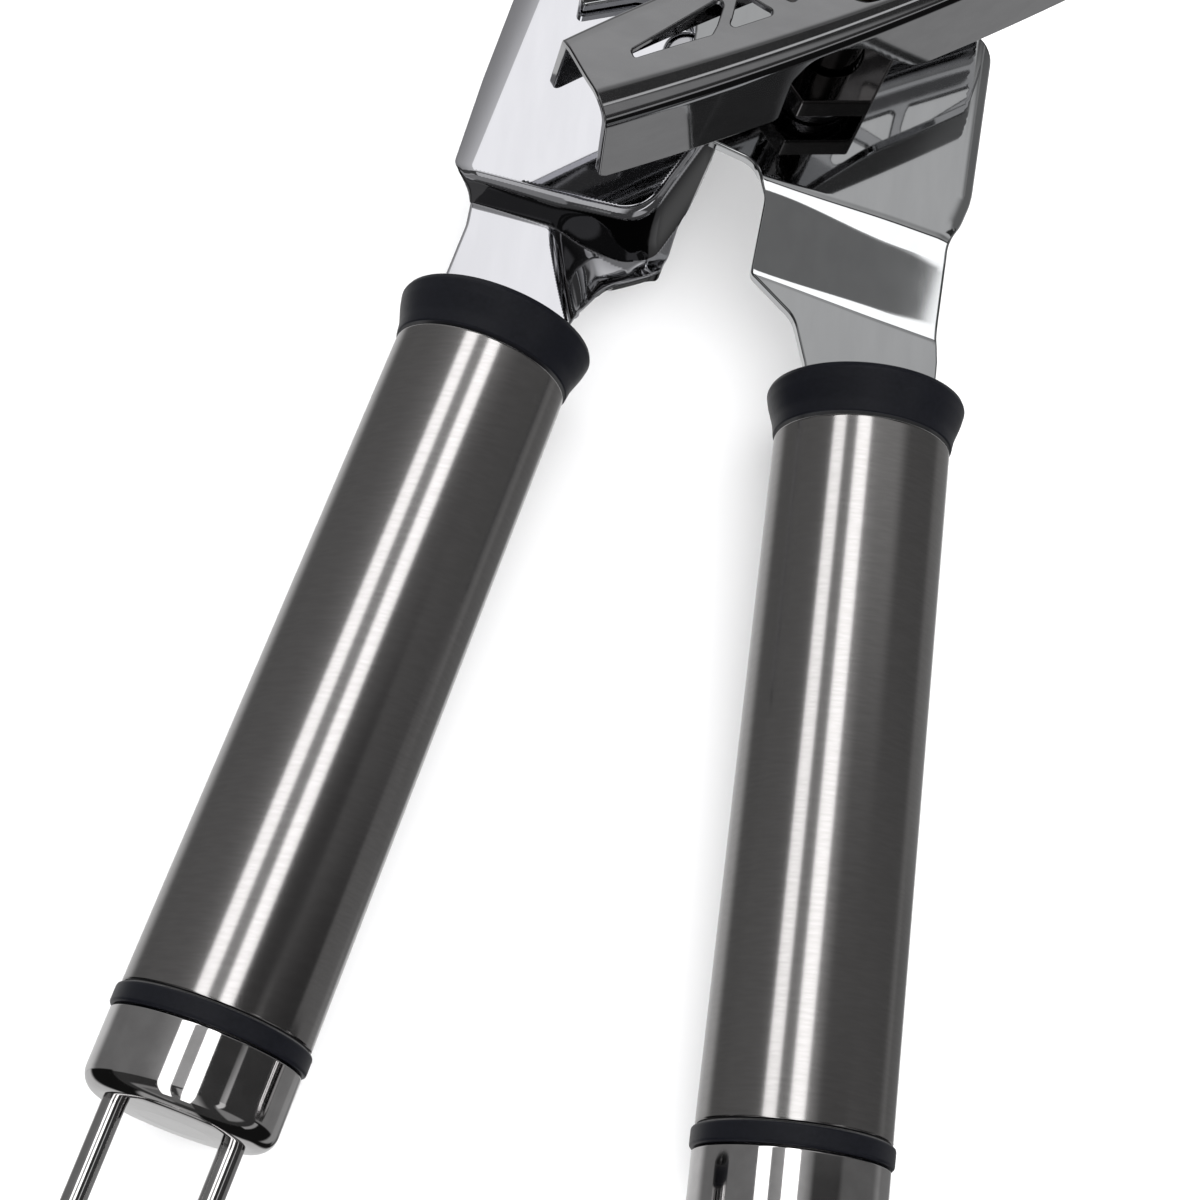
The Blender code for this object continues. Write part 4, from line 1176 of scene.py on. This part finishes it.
def area_light(name, place, target, along, size, power, color=(1.0, 1.0, 1.0)):
    """Rectangular light at place facing target, its long side laid along a direction."""
    data = bpy.data.lights.new(name, "AREA")
    data.shape = "RECTANGLE"
    data.size, data.size_y = size
    data.energy = power
    data.color = color
    light = bpy.data.objects.new(name, data)
    back = (Vector(place) - Vector(target)).normalized()
    long_side = Vector(along) - back * back.dot(Vector(along))
    long_side.normalize()
    short_side = long_side.cross(back)
    spin = Matrix((short_side, long_side, back)).transposed()
    light.matrix_world = Matrix.Translation(Vector(place)) @ spin.to_4x4()
    bpy.context.scene.collection.objects.link(light)
    light.visible_camera = False
    return light


def world_point(x, y, z):
    return (Vector((x, y, z)) + Vector(OFFSET)) * MM


def strip_lights(side, root, angle, tilts, extra):
    """Long thin lights lying along a handle, at angles off its vertical plane."""
    up = Vector((math.sin(angle), math.cos(angle), 0.0))
    across = Vector((math.cos(angle), -math.sin(angle), 0.0))
    middle = Vector((root[0], root[1], 0.0)) - up * 10.0
    for k, (tilt, spread, level) in enumerate(tilts):
        tilt = math.radians(tilt)
        away = across * math.sin(tilt) + Vector((0.0, 0.0, 1.0)) * math.cos(tilt)
        width = 2.0 * STRIP_AWAY * math.tan(math.radians(spread) / 2.0)
        place = world_point(*(middle + away * STRIP_AWAY))
        size = (width * MM, STRIP_LEN * MM)
        light = area_light(f"strip_{side}_{k}", place, world_point(*middle), up, size,
                           level * math.pi * size[0] * size[1])
        only_on(light, [side + "_tube", side + "_cap"] + extra)


def plate_lights():
    """White panels that only the plate arm's step mirrors, with a gap for its dark face."""
    target = world_point(0.0, 19.0, 3.0)
    for k, (east, tilts, span) in enumerate([(-0.04, (5.0, 37.0), 0.34),
                                             (0.055, (37.0, 55.0), 0.148)]):
        middle = math.radians(0.5 * (tilts[0] + tilts[1]))
        half = math.radians(0.5 * (tilts[1] - tilts[0]))
        away = Vector((east, -math.sin(middle), math.cos(middle))).normalized()
        size = (span * PANEL_AWAY, 2.0 * math.tan(half) * PANEL_AWAY)
        light = area_light(f"plate_panel_{k}", target + away * PANEL_AWAY, target,
                           (0.0, 1.0, 0.0), size, 1.2 * math.pi * size[0] * size[1])
        only_on(light, ["plate_arm"])


def build_lights():
    bpy.context.scene.view_settings.view_transform = "Standard"
    strip_lights("right", RIGHT_ROOT, 0.0, [(-41.5, 15.5, 2.6), (-10.0, 17.5, 2.8)], [])
    strip_lights("left", LEFT_ROOT, OPENING, [(-24.0, 15.5, 2.6), (6.0, 15.5, 2.8)], ["loop_wire"])
    plate_lights()
    target = world_point(-34.0, 28.0, 4.6)
    place = target + Vector((-0.02, 0.45, 0.89)) * 0.5
    size = (0.26, 0.30)
    light = area_light("shell_panel", place, target, (0.0, 1.0, 0.0), size,
                       0.42 * math.pi * size[0] * size[1])
    only_on(light, ["shell_arm"])


build_plate_arm()
build_shell_arm()
build_key()
build_axle_group()
build_pivot()
build_cutter()
build_handle("right", RIGHT_ROOT, 0.0, TUBE_RIGHT, PLATE, False)
build_handle("left", LEFT_ROOT, OPENING, TUBE_LEFT, SHELL, True)
dress_inner_nodes()
build_camera()
build_floor()
build_world()
build_lights()
